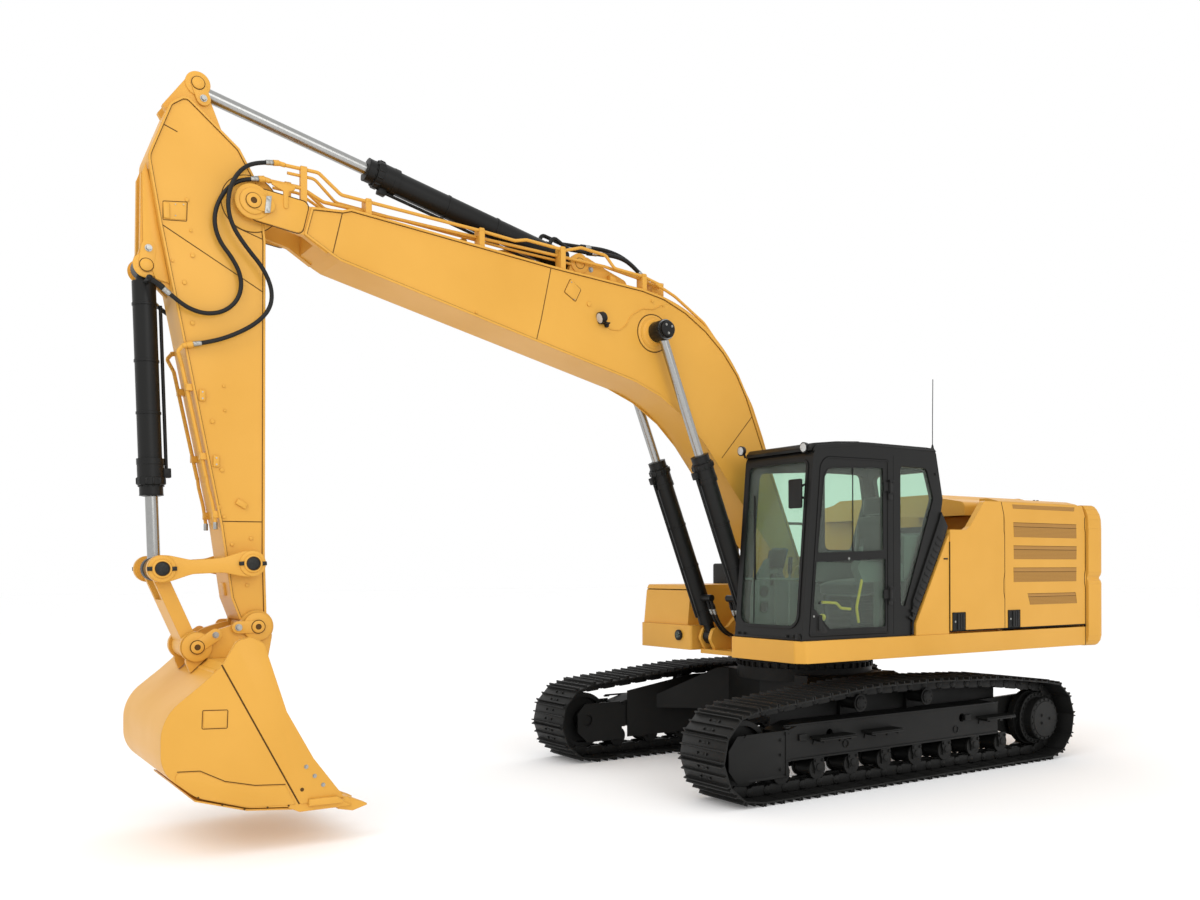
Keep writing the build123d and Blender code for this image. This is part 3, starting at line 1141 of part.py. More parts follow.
# Steel lines on the boom as corners (x, z) or (x, y, z), from the tip to the hump.
UPPER_LINE = ((5560, 5103), (5300, 5098), (5120, 4960), (3900, 4885), (3574, 4856), (3459, 4882),
              (3064, 4854), (2901, 4905), (2638, 4877), (2541, 4774), (2217, 4746), (2000, 4690))
LOWER_LINE = ((5680, 212, 4953), (5430, 208, 4948), (5250, 160, 4890), (3900, 150, 4840), (2620, 150, 4790),
              (2200, 150, 4730), (2000, 150, 4680))
LINE_BRACKETS = (4900, 3900, 3100, 2217)


def line_height(x):
    """Height of the upper steel line above a place on the boom."""
    for (x1, z1), (x2, z2) in zip(UPPER_LINE, UPPER_LINE[1:]):
        if x2 <= x <= x1:
            return z2 + (z1 - z2) * (x - x2) / (x1 - x2)
    return UPPER_LINE[0][1]


def stick_front(z):
    """The stick's front face, in the middle stretch: its x at a height."""
    return 6034 + (z - 2340) * (6455 - 6034) / (4521 - 2340)


def make_stick_line_fittings():
    """Steel lines down the stick's front corners, with clamps and the fittings that the hoses end on."""
    parts = None
    for side in BOTH_SIDES:
        before, end = [(x, side * y, z) for x, y, z in STICK_LINE_ROUTE[-2:]]
        top = stick_front(3560) + 26
        low = stick_front(2700) + 26
        line = tube([(6300, side * 190, 3644), (6335, side * 186, 3600), (top, side * 140, 3500),
                     (low, side * 140, 2700)], 30, LINE_RADIUS)
        line += crimp(end, before) + bar(behind(end, before), (6306, side * 190, 3642), PIPE_RADIUS)
        for height in (3350, 2850):
            front = stick_front(height)
            line += block(front - 20, front + 44, side * 115, side * 165, height - 25, height + 25) - \
                along_y(outline(*STICK_SIDE), -400, 400)
        parts = line if parts is None else parts + line
    return parts


# ---------------------------------------------------------------- write the nodes
NODES = (
    ("carbody", make_carbody), ("slewing_ring_lower", make_slewing_ring),
    ("slewing_ring_upper", make_slewing_ring_upper),
    ("track_frame_left", lambda: make_track_frame(1)), ("track_frame_right", lambda: make_track_frame(-1)),
    ("track_left", lambda: make_track(1)), ("track_right", lambda: make_track(-1)),
    ("front_idlers", make_idlers), ("drive_sprockets", make_sprockets),
    ("bottom_rollers", make_bottom_rollers), ("carrier_rollers", make_carrier_rollers),
    ("upper_frame", make_upper_frame), ("left_deck", make_left_deck), ("right_deck", make_right_deck),
    ("counterweight", make_counterweight), ("engine", make_engine), ("rear_body", make_rear_body),
    ("left_panel", make_left_panel), ("left_front_door", make_left_front_door),
    ("left_rear_door", make_left_rear_door), ("right_side_door", make_right_side_door),
    ("engine_hood", make_engine_hood), ("fuel_tank", make_fuel_tank), ("hydraulic_tank", make_hydraulic_tank),
    ("side_locker", make_side_locker), ("toolbox", make_toolbox), ("toolbox_lid", make_toolbox_lid),
    ("handrails", make_handrails),
    ("cab_shell", make_cab_shell), ("cab_glass", make_cab_glass), ("cab_door", make_cab_door),
    ("cab_door_glass", make_cab_door_glass), ("roof_hatch", make_roof_hatch), ("operator_seat", make_seat),
    ("cab_controls", lambda: make_consoles() + make_travel_levers()),
    ("boom", make_boom), ("boom_line_fittings", make_boom_line_fittings),
    ("boom_cylinder_barrels", make_boom_barrels), ("boom_cylinder_rods", make_boom_rods),
    ("stick", make_stick), ("stick_line_fittings", make_stick_line_fittings),
    ("stick_cylinder_barrel", make_stick_barrel), ("stick_cylinder_rod", make_stick_rod),
    ("bucket_cylinder_barrel", make_bucket_barrel), ("bucket_cylinder_rod", make_bucket_rod),
    ("idler_links", make_idler_links), ("power_link", make_power_link),
    ("bucket", make_bucket), ("bucket_ears", make_bucket_ears), ("bucket_teeth", make_bucket_teeth),
)


def hose_table():
    """Each hose's node name, route and diameter."""
    rows = []
    for name, side in (("left", 1), ("right", -1)):
        for number, y in enumerate(BOOM_HOSE_Y):
            route = tuple((x, side * (y - 2 * step), z) for step, (x, z) in enumerate(BOOM_CYLINDER_ROUTE))
            rows.append((f"boom_cylinder_hose_{name}_{number + 1}", route, BOOM_HOSE))
        for node, route in (("stick_line_hose_", STICK_LINE_ROUTE),
                            ("bucket_cylinder_hose_", BUCKET_CYLINDER_ROUTE)):
            rows.append((node + name, route if side == 1 else mirrored(route), ARM_HOSE))
    for number, route in enumerate(STICK_CYLINDER_ROUTES):
        rows.append((f"stick_cylinder_hose_{number + 1}", route, CYLINDER_HOSE))
    return rows


def main():
    for name, maker in NODES:
        save(name, maker())
    for name, route, diameter in hose_table():
        save(name, make_hose(name, route, diameter))


main()
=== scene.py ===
import math

import bmesh
import bpy
from mathutils import Matrix, Vector


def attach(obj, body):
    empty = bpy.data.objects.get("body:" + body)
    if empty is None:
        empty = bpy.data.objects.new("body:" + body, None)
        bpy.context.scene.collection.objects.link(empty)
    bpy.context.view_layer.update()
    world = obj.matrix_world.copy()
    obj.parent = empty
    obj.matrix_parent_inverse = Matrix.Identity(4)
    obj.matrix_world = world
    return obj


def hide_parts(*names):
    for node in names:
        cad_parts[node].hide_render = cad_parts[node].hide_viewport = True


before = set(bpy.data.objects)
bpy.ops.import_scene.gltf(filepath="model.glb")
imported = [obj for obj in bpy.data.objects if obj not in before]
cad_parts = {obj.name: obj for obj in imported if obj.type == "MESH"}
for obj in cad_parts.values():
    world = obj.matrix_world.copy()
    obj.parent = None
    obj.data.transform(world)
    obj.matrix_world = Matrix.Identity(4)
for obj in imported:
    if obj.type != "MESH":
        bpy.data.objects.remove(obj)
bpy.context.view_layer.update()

# Everything below is drawn in millimetres, in the CAD model's frame, and scaled to metres as it is finished.
MM = 0.001
SIDES = (1, -1)
NEAR = 0.01                                  # closer than this is the same place


# ---------------------------------------------------------------- camera
CAMERA_PLACE = (8.0543, 8.5242, 2.0131)      # metres
CAMERA_HEADING, CAMERA_ROLL = -123.904, -0.15
CAMERA_LENS, CAMERA_SENSOR = 32.574, 36
CAMERA_SHIFT = (-0.0188, 0.0988)


def show(name, data):
    """Puts an object with this data into the scene."""
    made = bpy.data.objects.new(name, data)
    bpy.context.scene.collection.objects.link(made)
    return made


def aim_camera():
    """A level camera at the machine's left front, with its frame shifted up instead of tilted."""
    data = bpy.data.cameras.new("camera")
    heading, roll = math.radians(CAMERA_HEADING), math.radians(CAMERA_ROLL)
    forward = Vector((math.cos(heading), math.sin(heading), 0))
    right = Vector((math.sin(heading), -math.cos(heading), 0))
    up = Vector((0, 0, 1))
    side = right * math.cos(roll) + up * math.sin(roll)
    top = up * math.cos(roll) - right * math.sin(roll)
    data.lens, data.sensor_width = CAMERA_LENS, CAMERA_SENSOR
    data.shift_x, data.shift_y = CAMERA_SHIFT
    data.clip_end = 300
    camera = show("camera", data)
    camera.matrix_world = Matrix.Translation(CAMERA_PLACE) @ Matrix((side, top,
            -forward)).transposed().to_4x4()
    bpy.context.scene.camera = camera


aim_camera()


# ---------------------------------------------------------------- materials
def colour(code):
    """An sRGB hex colour as linear RGBA."""
    parts = [int(code[i:i + 2], 16) / 255 for i in (0, 2, 4)]
    return tuple(c / 12.92 if c <= 0.04045 else ((c + 0.055) / 1.055) ** 2.4 for c in parts) + (1.0,)


def add(tree, kind, inputs=None, **settings):
    """Adds a node: settings are its properties, inputs are values or links by socket."""
    made = tree.nodes.new(kind)
    for name, value in settings.items():
        setattr(made, name, value)
    for name, value in (inputs or {}).items():
        if isinstance(value, bpy.types.NodeSocket):
            tree.links.new(value, made.inputs[name])
        else:
            made.inputs[name].default_value = value
    return made


def begin(name, **sockets):
    """A new material with constants set on its shader: material, tree, shader and object space."""
    material = bpy.data.materials.new(name)
    material.use_nodes = True
    tree = material.node_tree
    shader = tree.nodes["Principled BSDF"]
    for socket, value in sockets.items():
        shader.inputs[socket.replace("_", " ")].default_value = value
    return material, tree, shader, add(tree, "ShaderNodeTexCoord").outputs["Object"]


def noise(tree, place, scale, detail):
    """Soft noise at a place, from 0 to 1."""
    return add(tree, "ShaderNodeTexNoise", {"Vector": place, "Scale": scale,
            "Detail": detail}).outputs["Fac"]


def remap(tree, value, low=0.0, high=1.0, start=0.0, end=1.0):
    """A value that runs from low to high while the given one runs from start to end."""
    return add(tree, "ShaderNodeMapRange", {"Value": value, "From Min": start, "From Max": end, "To Min": low,
                                            "To Max": high}).outputs["Result"]


def tint(tree, shader, share, main, dull):
    """Colours a shader between two hex colours."""
    mixed = add(tree, "ShaderNodeMix", {0: share, 6: colour(main), 7: colour(dull)}, data_type="RGBA")
    tree.links.new(mixed.outputs[2], shader.inputs["Base Color"])


def relief(tree, shader, height, strength, depth, **under):
    """Gives a shader a fine relief, over another normal if there is one."""
    bump = add(tree, "ShaderNodeBump", {"Height": height, "Strength": strength, "Distance": depth, **under})
    tree.links.new(bump.outputs["Normal"], shader.inputs["Normal"])


def enamel(name, main, dull, rough, coat, round_edge, peel=0.12, shine=0.45):
    """Sprayed enamel on welded steel: faint clouding, orange peel and softened plate edges."""
    material, tree, shader, place = begin(name, Coat_Weight=coat, Coat_Roughness=0.12,
            Specular_IOR_Level=shine)
    cloud = noise(tree, place, 1.1, 3.0)
    tint(tree, shader, remap(tree, cloud, start=0.35, end=0.7), main, dull)
    gloss = remap(tree, cloud, rough - 0.05, rough + 0.07, 0.3, 0.7)
    tree.links.new(gloss, shader.inputs["Roughness"])
    edge = add(tree, "ShaderNodeBevel", {"Radius": round_edge}, samples=3)
    # orange peel is about 1 mm across; it is drawn at 6 mm, the finest that shows
    relief(tree, shader, noise(tree, place, 160.0, 1.0), peel, 0.0006, Normal=edge.outputs["Normal"])
    return material


def steel(name, main, dull, rough, streak):
    """Bare or plated steel: fine marks from turning or plating that vary its gloss."""
    material, tree, shader, place = begin(name, Metallic=1.0)
    marks = noise(tree, place, streak, 4.0)
    tint(tree, shader, marks, main, dull)
    tree.links.new(remap(tree, marks, rough, rough + 0.14), shader.inputs["Roughness"])
    return material


def moulded(name, main, dull, rough, grain_scale, grain):
    """Moulded plastic or rubber: a fine leather grain from the mould."""
    material, tree, shader, place = begin(name, Specular_IOR_Level=0.25)
    cloud = noise(tree, place, 3.0, 2.0)
    tint(tree, shader, cloud, main, dull)
    tree.links.new(remap(tree, cloud, rough - 0.06, rough + 0.08), shader.inputs["Roughness"])
    cells = add(tree, "ShaderNodeTexVoronoi", {"Vector": place, "Scale": grain_scale})
    relief(tree, shader, cells.outputs["Distance"], grain, 0.0008)
    return material


def crossed(tree, place, scale, first, second):
    """Two sets of waves at right angles, multiplied."""
    waves = [add(tree, "ShaderNodeTexWave", {"Vector": place, "Scale": scale},
            bands_direction=axis).outputs["Fac"] for axis in (first, second)]
    return add(tree, "ShaderNodeMath", {0: waves[0], 1: waves[1]}, operation="MULTIPLY").outputs[0]


def woven(name, main, dull):
    """Seat cloth: a plain weave, drawn at 5 mm so that it shows, with a soft sheen."""
    material, tree, shader, place = begin(name, Sheen_Weight=0.4, Roughness=0.9)
    cross = crossed(tree, place, 60.0, "Y", "Z")
    tint(tree, shader, cross, dull, main)
    relief(tree, shader, cross, 0.4, 0.001)
    return material


def tinted_glass(name, tone, film, share):
    """Safety glass: light passes with a green tint, and a thin gloss film greys what is behind it."""
    material, tree, shader, place = begin(name, Roughness=0.03, IOR=1.5, Specular_IOR_Level=1.0)
    tint(tree, shader, noise(tree, place, 1.5, 2.0), film, "8E8F8A")
    through = add(tree, "ShaderNodeBsdfTransparent", {"Color": colour(tone)})
    pane = add(tree, "ShaderNodeMixShader", {0: share, 1: through.outputs[0], 2: shader.outputs[0]})
    tree.links.new(pane.outputs[0], tree.nodes["Material Output"].inputs["Surface"])
    return material


def perforated(name, main, hole):
    """Enamelled sheet with punched holes: 6 mm on a 9 mm pitch, drawn at 14 mm so that they show; the holes
    take the second, darker colour as painted shade.
    """
    material, tree, shader, place = begin(name, Roughness=0.55, Specular_IOR_Level=0.3)
    dots = crossed(tree, place, 22.4, "X", "Z")
    tint(tree, shader, remap(tree, dots, start=0.25, end=0.5), main, hole)
    return material


YELLOW = enamel("yellow machine enamel", "D7A042", "D0993B", 0.42, 0.04, 0.006, shine=0.24)
BLACK = enamel("black satin enamel", "161615", "121211", 0.4, 0.0, 0.005, shine=0.22)
TRACK_BLACK = enamel("black undercarriage enamel", "1A1A19", "131312", 0.48, 0.0, 0.003, peel=0.3,
        shine=0.2)
CHROME = steel("hard chrome rod", "A9A9A7", "969694", 0.18, 40.0)
ZINC = steel("zinc plated steel", "B4B4B0", "8E8E8A", 0.34, 90.0)
PIN_STEEL = steel("blackened pin steel", "3E3E3C", "2A2A29", 0.42, 60.0)
IRON = enamel("grey engine enamel", "4B4E4C", "3F4140", 0.55, 0.0, 0.004)
RUBBER = moulded("black hose rubber", "1B1B1A", "121212", 0.5, 260.0, 0.25)
PLASTIC = moulded("black moulded ABS", "1B1B1A", "141414", 0.5, 220.0, 0.3)
TRIM = moulded("grey-green cab ABS", "565C58", "4B514D", 0.6, 260.0, 0.3)
CLOTH = woven("grey seat cloth", "242625", "181A19")
# painted shade: black strips laid in the gaps between panels, standing in for the shadow in them
GAP_SHADE = moulded("black painted gap shade", "050505", "030303", 0.8, 200.0, 0.1)
# painted shade: thin brown lines along seams, rim edges and boss rims, standing in for the shade that falls
# in them
SEAM_SHADE = moulded("brown painted seam shade", "5A3D14", "4C3310", 0.7, 200.0, 0.15)
GLASS = tinted_glass("green safety glass", "F1FEF6", "A8A8A2", 0.12)
LENS = tinted_glass("clear lamp lens", "FFFFFF", "F2F3F2", 0.75)
SAFETY_YELLOW = moulded("yellow moulded ABS", "C9AC22", "B89C1C", 0.45, 200.0, 0.2)
# painted shade: screens and their folded lips are a darker yellow than the machine's enamel, standing in for
# the shade in the recessed slots; the punched-hole pattern is real
SCREEN_IN_PAINTED_SHADE = perforated("perforated sheet in painted shade", "A87A33", "86602A")
LIP_IN_PAINTED_SHADE = enamel("folded lip in painted shade", "A97A34", "A07330", 0.6, 0.0, 0.001)

NODE_FINISH = (
    (TRACK_BLACK, "carbody slewing_ring_lower slewing_ring_upper track_frame_left track_frame_right "
                  "track_left track_right front_idlers drive_sprockets bottom_rollers carrier_rollers"),
    (YELLOW, "upper_frame left_deck right_deck counterweight rear_body left_panel left_front_door "
             "left_rear_door right_side_door engine_hood fuel_tank hydraulic_tank toolbox toolbox_lid "
             "boom boom_line_fittings stick stick_line_fittings idler_links power_link bucket "
             "bucket_ears bucket_teeth"),
    (BLACK, "cab_shell cab_door roof_hatch boom_cylinder_barrels stick_cylinder_barrel "
            "bucket_cylinder_barrel handrails"),
    (CHROME, "boom_cylinder_rods stick_cylinder_rod bucket_cylinder_rod"),
    (IRON, "engine"), (PLASTIC, "side_locker"), (TRIM, "cab_controls"), (CLOTH, "operator_seat"),
    (GLASS, "cab_glass cab_door_glass"),
)
for material, names in NODE_FINISH:
    for node_name in names.split():
        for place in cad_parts[node_name].material_slots:
            place.material = material


# ---------------------------------------------------------------- modelling helpers
def flat(bm, corners, level=0.0):
    """A face in x and z at this y; a corner is (x, z) or (x, z, rounding radius)."""
    points = [bm.verts.new((c[0], level, c[1])) for c in corners]
    bm.faces.new(points)
    count = len(corners)
    for i, corner in enumerate(corners):
        if len(corner) == 3:
            before, here, after = (Vector(corners[(i + step) % count][:2]) for step in (-1, 0, 1))
            turn = (here - before).angle(after - here)
            bmesh.ops.bevel(bm, geom=[points[i]], offset=corner[2] * math.tan(turn / 2), affect="VERTICES",
                            segments=max(3, int(turn * 6)), profile=0.5)


def soften(part, edges, width):
    """Rounds a part's edges over a width."""
    bmesh.ops.bevel(part, geom=edges, offset=width, segments=2, profile=0.5, affect="EDGES", material=-1)


def thicken(part, depth):
    """Grows a part's flat faces into a solid along y."""
    grown = bmesh.ops.extrude_face_region(part, geom=part.faces[:])
    moved = [v for v in grown["geom"] if isinstance(v, bmesh.types.BMVert)]
    bmesh.ops.translate(part, vec=(0, depth, 0), verts=moved)
    bmesh.ops.recalc_face_normals(part, faces=part.faces[:])


def prism(bm, corners, y0, y1, edge=0.0):
    """An outline in x and z, thickened from y0 to y1."""
    part = bmesh.new()
    flat(part, corners, y0)
    thicken(part, y1 - y0)
    if edge:
        soften(part, [e for e in part.edges if abs(e.verts[0].co.y - e.verts[1].co.y) < NEAR], edge)
    join(bm, part)


def join(bm, part, matrix=None):
    """Puts a part into a piece's mesh, moved by the matrix if there is one, and frees it."""
    if matrix is not None:
        bmesh.ops.transform(part, matrix=matrix, verts=part.verts[:])
    mesh = bpy.data.meshes.new("part")
    part.to_mesh(mesh)
    part.free()
    bm.from_mesh(mesh)
    bpy.data.meshes.remove(mesh)


def block(bm, x, y, z, edge=0.0, turn=0.0):
    """A box between two places on each axis, with softened edges, turned about y in degrees."""
    part = bmesh.new()
    bmesh.ops.create_cube(part, size=1.0)
    bmesh.ops.scale(part, vec=(abs(x[1] - x[0]), abs(y[1] - y[0]), abs(z[1] - z[0])), verts=part.verts[:])
    if edge:
        soften(part, part.edges[:], edge)
    middle = Matrix.Translation(((x[0] + x[1]) / 2, (y[0] + y[1]) / 2, (z[0] + z[1]) / 2))
    join(bm, part, middle @ Matrix.Rotation(math.radians(turn), 4, "Y"))


def along(start, end):
    """A matrix that stands the z axis on the line from start, with its origin there."""
    line = Vector(end) - Vector(start)
    return Matrix.Translation(start) @ line.to_track_quat("Z", "Y").to_matrix().to_4x4()


def rod(bm, start, end, radius, sides=24, tip=None, edge=0.0):
    """A round bar between two points."""
    part = bmesh.new()
    length = (Vector(end) - Vector(start)).length
    bmesh.ops.create_cone(part, cap_ends=True, segments=sides, radius1=radius,
                          radius2=radius if tip is None else tip, depth=length)
    if edge:
        soften(part, [e for e in part.edges if abs(e.verts[0].co.z - e.verts[1].co.z) < NEAR], edge)
    join(bm, part, along(start, end) @ Matrix.Translation((0, 0, length / 2)))


def turned(bm, profile, start, end, steps=36):
    """A profile of (radius, distance from start) pairs, turned round the line to end."""
    part = bmesh.new()
    points = [part.verts.new((radius, 0, rise)) for radius, rise in profile]
    lines = [part.edges.new(pair) for pair in zip(points, points[1:])]
    bmesh.ops.spin(part, geom=points + lines, cent=(0, 0, 0), axis=(0, 0, 1), angle=2 * math.pi, steps=steps,
                   use_merge=True)
    bmesh.ops.remove_doubles(part, verts=part.verts[:], dist=NEAR)
    bmesh.ops.recalc_face_normals(part, faces=part.faces[:])
    join(bm, part, along(start, end))


def peg(bm, place, y0, y1, radius, sides=24, edge=0.0):
    """A round bar across the machine, at a place in x and z."""
    x, z = place
    rod(bm, (x, y0, z), (x, y1, z), radius, sides, edge=edge)


def boss(bm, profile, place, y, steps=36):
    """A turned profile that stands out sideways from y, at a place in x and z."""
    x, z = place
    turned(bm, profile, (x, y, z), (x, y + math.copysign(100, y), z), steps)


def circle(count, radius, x=0.0, z=0.0, shift=0.0):
    """Places evenly round a circle, as pairs."""
    angles = [2 * math.pi * (number + shift) / count for number in range(count)]
    return [(x + radius * math.cos(angle), z + radius * math.sin(angle)) for angle in angles]


def bolt(bm, place, size=16, facing=None, washer=True):
    """A hexagon head on a washer, standing on a place; it faces sideways if no direction is given."""
    place = Vector(place)
    facing = Vector(facing or (0, math.copysign(1, place.y), 0)).normalized()
    if washer:
        rod(bm, place, place + facing * size * 0.25, size * 1.3, 16)
    rod(bm, place + facing * size * 0.2, place + facing * size * 0.95, size, 6, tip=size * 0.93)


def rim(bm, corners, y0, y1, width, inset=0.0):
    """A raised border inside an outline, from y0 to y1, this wide and this far in from the outline."""
    part = bmesh.new()
    flat(part, corners, y0)
    for step in (inset, width):
        if step:
            middle = max(part.faces, key=lambda f: f.calc_area())
            if len(part.faces) > 1:
                others = [f for f in part.faces if f != middle]
                bmesh.ops.delete(part, geom=others, context="FACES")
            bmesh.ops.inset_region(part, faces=[middle], thickness=step, use_even_offset=True,
                    use_boundary=True)
    middle = max(part.faces, key=lambda f: f.calc_area())
    bmesh.ops.delete(part, geom=[middle], context="FACES_ONLY")
    thicken(part, y1 - y0)
    join(bm, part)


def strip(bm, points, y0, y1, width):
    """A flat strip that follows points in x and z, from y0 to y1."""
    for (x1, z1), (x2, z2) in zip(points, points[1:]):
        half = math.hypot(x2 - x1, z2 - z1) / 2 + 1
        x, z = (x1 + x2) / 2, (z1 + z2) / 2
        block(bm, (x - half, x + half), (y0, y1), (z - width / 2, z + width / 2),
                turn=-math.degrees(math.atan2(z2 - z1, x2 - x1)))


def lug(bm, first, second, radius, y0, y1):
    """A keeper plate with round ends about two points in x and z."""
    line = Vector((second[0] - first[0], second[1] - first[1])).normalized()
    out = Vector((-line.y, line.x))
    near, far = Vector(first) - line * radius, Vector(second) + line * radius
    ends = [near + out * radius, far + out * radius, far - out * radius, near - out * radius]
    prism(bm, [(end.x, end.y, radius * 0.97) for end in ends], y0, y1, 3)


def weld(bm, start, end, radius=4):
    """A weld bead: a low round ridge between two points."""
    rod(bm, start, end, radius, 8)


def ride(piece, body):
    """Fixes a piece to a body."""
    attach(piece, body)
    return piece


def finish(name, body, material, bm, smooth=38, replaces=()):
    """Makes the mesh a piece in metres that rides on a body."""
    bmesh.ops.scale(bm, vec=(MM, MM, MM), verts=bm.verts[:])
    mesh = bpy.data.meshes.new(name)
    bm.to_mesh(mesh)
    bm.free()
    mesh.materials.append(material)
    mesh.shade_smooth()
    mesh.set_sharp_from_angle(angle=math.radians(smooth))
    piece = ride(show(name, mesh), body)
    if replaces:
        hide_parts(*replaces)
    return piece


def tube(name, body, material, runs, radius, ring_steps, run_steps):
    """Round tube, smooth through the points of each run."""
    data = bpy.data.curves.new(name, "CURVE")
    data.dimensions = "3D"
    data.bevel_depth = radius * MM
    data.bevel_resolution = ring_steps
    data.use_fill_caps = True
    for points in runs:
        spline = data.splines.new("NURBS")
        spline.points.add(len(points) - 1)
        for target, point in zip(spline.points, points):
            target.co = (Vector(point) * MM).to_4d()
        spline.order_u = 3
        spline.use_endpoint_u = True
        spline.resolution_u = run_steps
    data.materials.append(material)
    return ride(show(name, data), body)


def pipe(name, body, material, runs, radius, bend=60):
    """Bent steel tube: each run is a list of corners, rounded within a distance of the corner."""
    rounded = []
    for corners in runs:
        corners = [Vector(c) for c in corners]
        points = [corners[0]]
        for before, here, after in zip(corners, corners[1:], corners[2:]):
            near = min(bend, (here - before).length * 0.45, (after - here).length * 0.45)
            points += [here + (before - here).normalized() * near, here,
                    here + (after - here).normalized() * near]
        rounded.append(points + [corners[-1]])
    return tube(name, body, material, rounded, radius, 4, 6)


# ---------------------------------------------------------------- hydraulic hoses
STICK_LINE = ((5650, 200, 5103), (5775, 214, 5080), (5900, 240, 4995), (5980, 258, 4850), (6003, 264, 4690),
        (5965, 263, 4545), (5862, 258, 4408), (5738, 250, 4278), (5668, 242, 4125), (5682, 234, 3980),
        (5790, 225, 3855), (5950, 215, 3755), (6105, 203, 3690), (6232, 195, 3660))
BUCKET_LINE = ((5762, 212, 4953), (5862, 212, 4937), (5962, 213, 4875), (6038, 214, 4770),
        (6082, 215, 4645), (6080, 215, 4530), (6038, 214, 4425), (5960, 212, 4335), (5900, 210, 4230),
        (5886, 208, 4115), (5926, 207, 4005), (6013, 208, 3925), (6125, 212, 3890), (6240, 216, 3903),
        (6345, 221, 3958), (6440, 224, 4034))
HUMP_LINE_1 = ((2712, 72, 4916), (2590, 72, 4922), (2460, 71, 4930), (2335, 70, 4912), (2225, 68, 4856),
        (2135, 67, 4786))
HUMP_LINE_2 = ((2700, -60, 5004), (2575, -60, 5013), (2445, -61, 5010), (2315, -62, 4988),
        (2200, -63, 4940), (2095, -64, 4872), (2010, -65, 4792))
BOOM_LINE = ((1105, 1600), (1058, 1490), (988, 1397), (901, 1331), (806, 1300))


def make_hose(node, body, route, diameter):
    """One hose as a smooth line through its route, with a pressed steel ferrule at each end."""
    radius = diameter / 2
    hose = tube(node + "_rubber", body, RUBBER, [route], radius, 5, 10)
    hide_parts(node)
    bm = bmesh.new()
    for end, after in ((route[0], route[1]), (route[-1], route[-2])):
        inward = (Vector(after) - Vector(end)).normalized()
        turned(bm, ((0, 0), (radius + 1, 0), (radius + 4, 4), (radius + 4, 24), (radius + 2.5, 27),
                (radius + 4, 30), (radius + 4, 52), (radius + 1.5, 60), (radius - 2, 60)), end,
                Vector(end) + inward, 20)
    ferrules = finish(node + "_ferrules", body, ZINC, bm)


for word, side in (("left", 1), ("right", -1)):
    for number, y in enumerate((205, 150)):
        drop = [(x, side * (y - 2 * step), z) for step, (x, z) in enumerate(BOOM_LINE)]
        make_hose(f"boom_cylinder_hose_{word}_{number + 1}", "house", drop, 30)
    make_hose("stick_line_hose_" + word, "boom", [(x, side * y, z) for x, y, z in STICK_LINE], 32)
    make_hose("bucket_cylinder_hose_" + word, "boom", [(x, side * y, z) for x, y, z in BUCKET_LINE], 32)
make_hose("stick_cylinder_hose_1", "boom", HUMP_LINE_1, 40)
make_hose("stick_cylinder_hose_2", "boom", HUMP_LINE_2, 40)


# ---------------------------------------------------------------- tracks
SHOE_COUNT = 50
WHEEL_X, WHEEL_Z, SEAT = 2010, 420, 380
TRACK_Y = 1295
UPPER_RUN = ((2010, 800), (616, 919), (-296, 919), (-1250, 884), (-2010, 800))


def track_place(distance):
    """Where the chain's outside is, this far along its loop from the lower rear: x, z and its slope."""
    straight, half_turn = 2 * WHEEL_X, math.pi * SEAT
    if distance < straight:
        return -WHEEL_X + distance, WHEEL_Z - SEAT, 0.0
    distance -= straight
    if distance < half_turn:
        angle = distance / SEAT
        return WHEEL_X + SEAT * math.sin(angle), WHEEL_Z - SEAT * math.cos(angle), angle
    distance -= half_turn
    for (x1, z1), (x2, z2) in zip(UPPER_RUN, UPPER_RUN[1:]):
        run = math.hypot(x2 - x1, z2 - z1)
        if distance < run:
            share = distance / run
            return x1 + (x2 - x1) * share, z1 + (z2 - z1) * share, math.atan2(z2 - z1, x2 - x1)
        distance -= run
    angle = min(distance / SEAT, math.pi)
    return -WHEEL_X - SEAT * math.sin(angle), WHEEL_Z + SEAT * math.cos(angle), math.pi + angle


LOOP = 2 * WHEEL_X + 2 * math.pi * SEAT + sum(math.hypot(b[0] - a[0], b[1] - a[1])
        for a, b in zip(UPPER_RUN, UPPER_RUN[1:]))
PITCH = LOOP / SHOE_COUNT


def make_shoe_link(bm):
    """One shoe with its bolts, and the pair of links behind it with pin bosses; outside is -z."""
    half = PITCH / 2 - 4
    block(bm, (-half, half), (-300, 300), (-14, 0), 2)
    prism(bm, ((half - 8, -9), (half + 17, -2), (half + 19, 4), (half - 8, 0)), -299, 299)
    for x, height in ((-half + 9, 40), (0, 38), (half - 9, 40)):
        prism(bm, ((x - 9, -12), (x - 5, -height), (x + 5, -height), (x + 9, -12)), -299, 299)
    for x in (-48, 48):
        for y in (-62, 62):
            bolt(bm, (x, y, -14), 13, (0, 0, -1), washer=False)
        block(bm, (x - 13, x + 13), (-26, 26), (-17, -13.5), 2)
    for side in SIDES:
        prism(bm, ((-60, 2), (-84, 18), (-92, 52), (-66, 92), (62, 92), (96, 60), (84, 18), (60, 2)),
                side * 52, side * 88, 3)
        peg(bm, (-half - 4, 46), side * 50, side * 94, 38, 14, edge=3)
        peg(bm, (-half - 4, 46), side * 90, side * 97, 22, 10, edge=2)
    peg(bm, (-half - 4, 46), -60, 60, 30, 10)


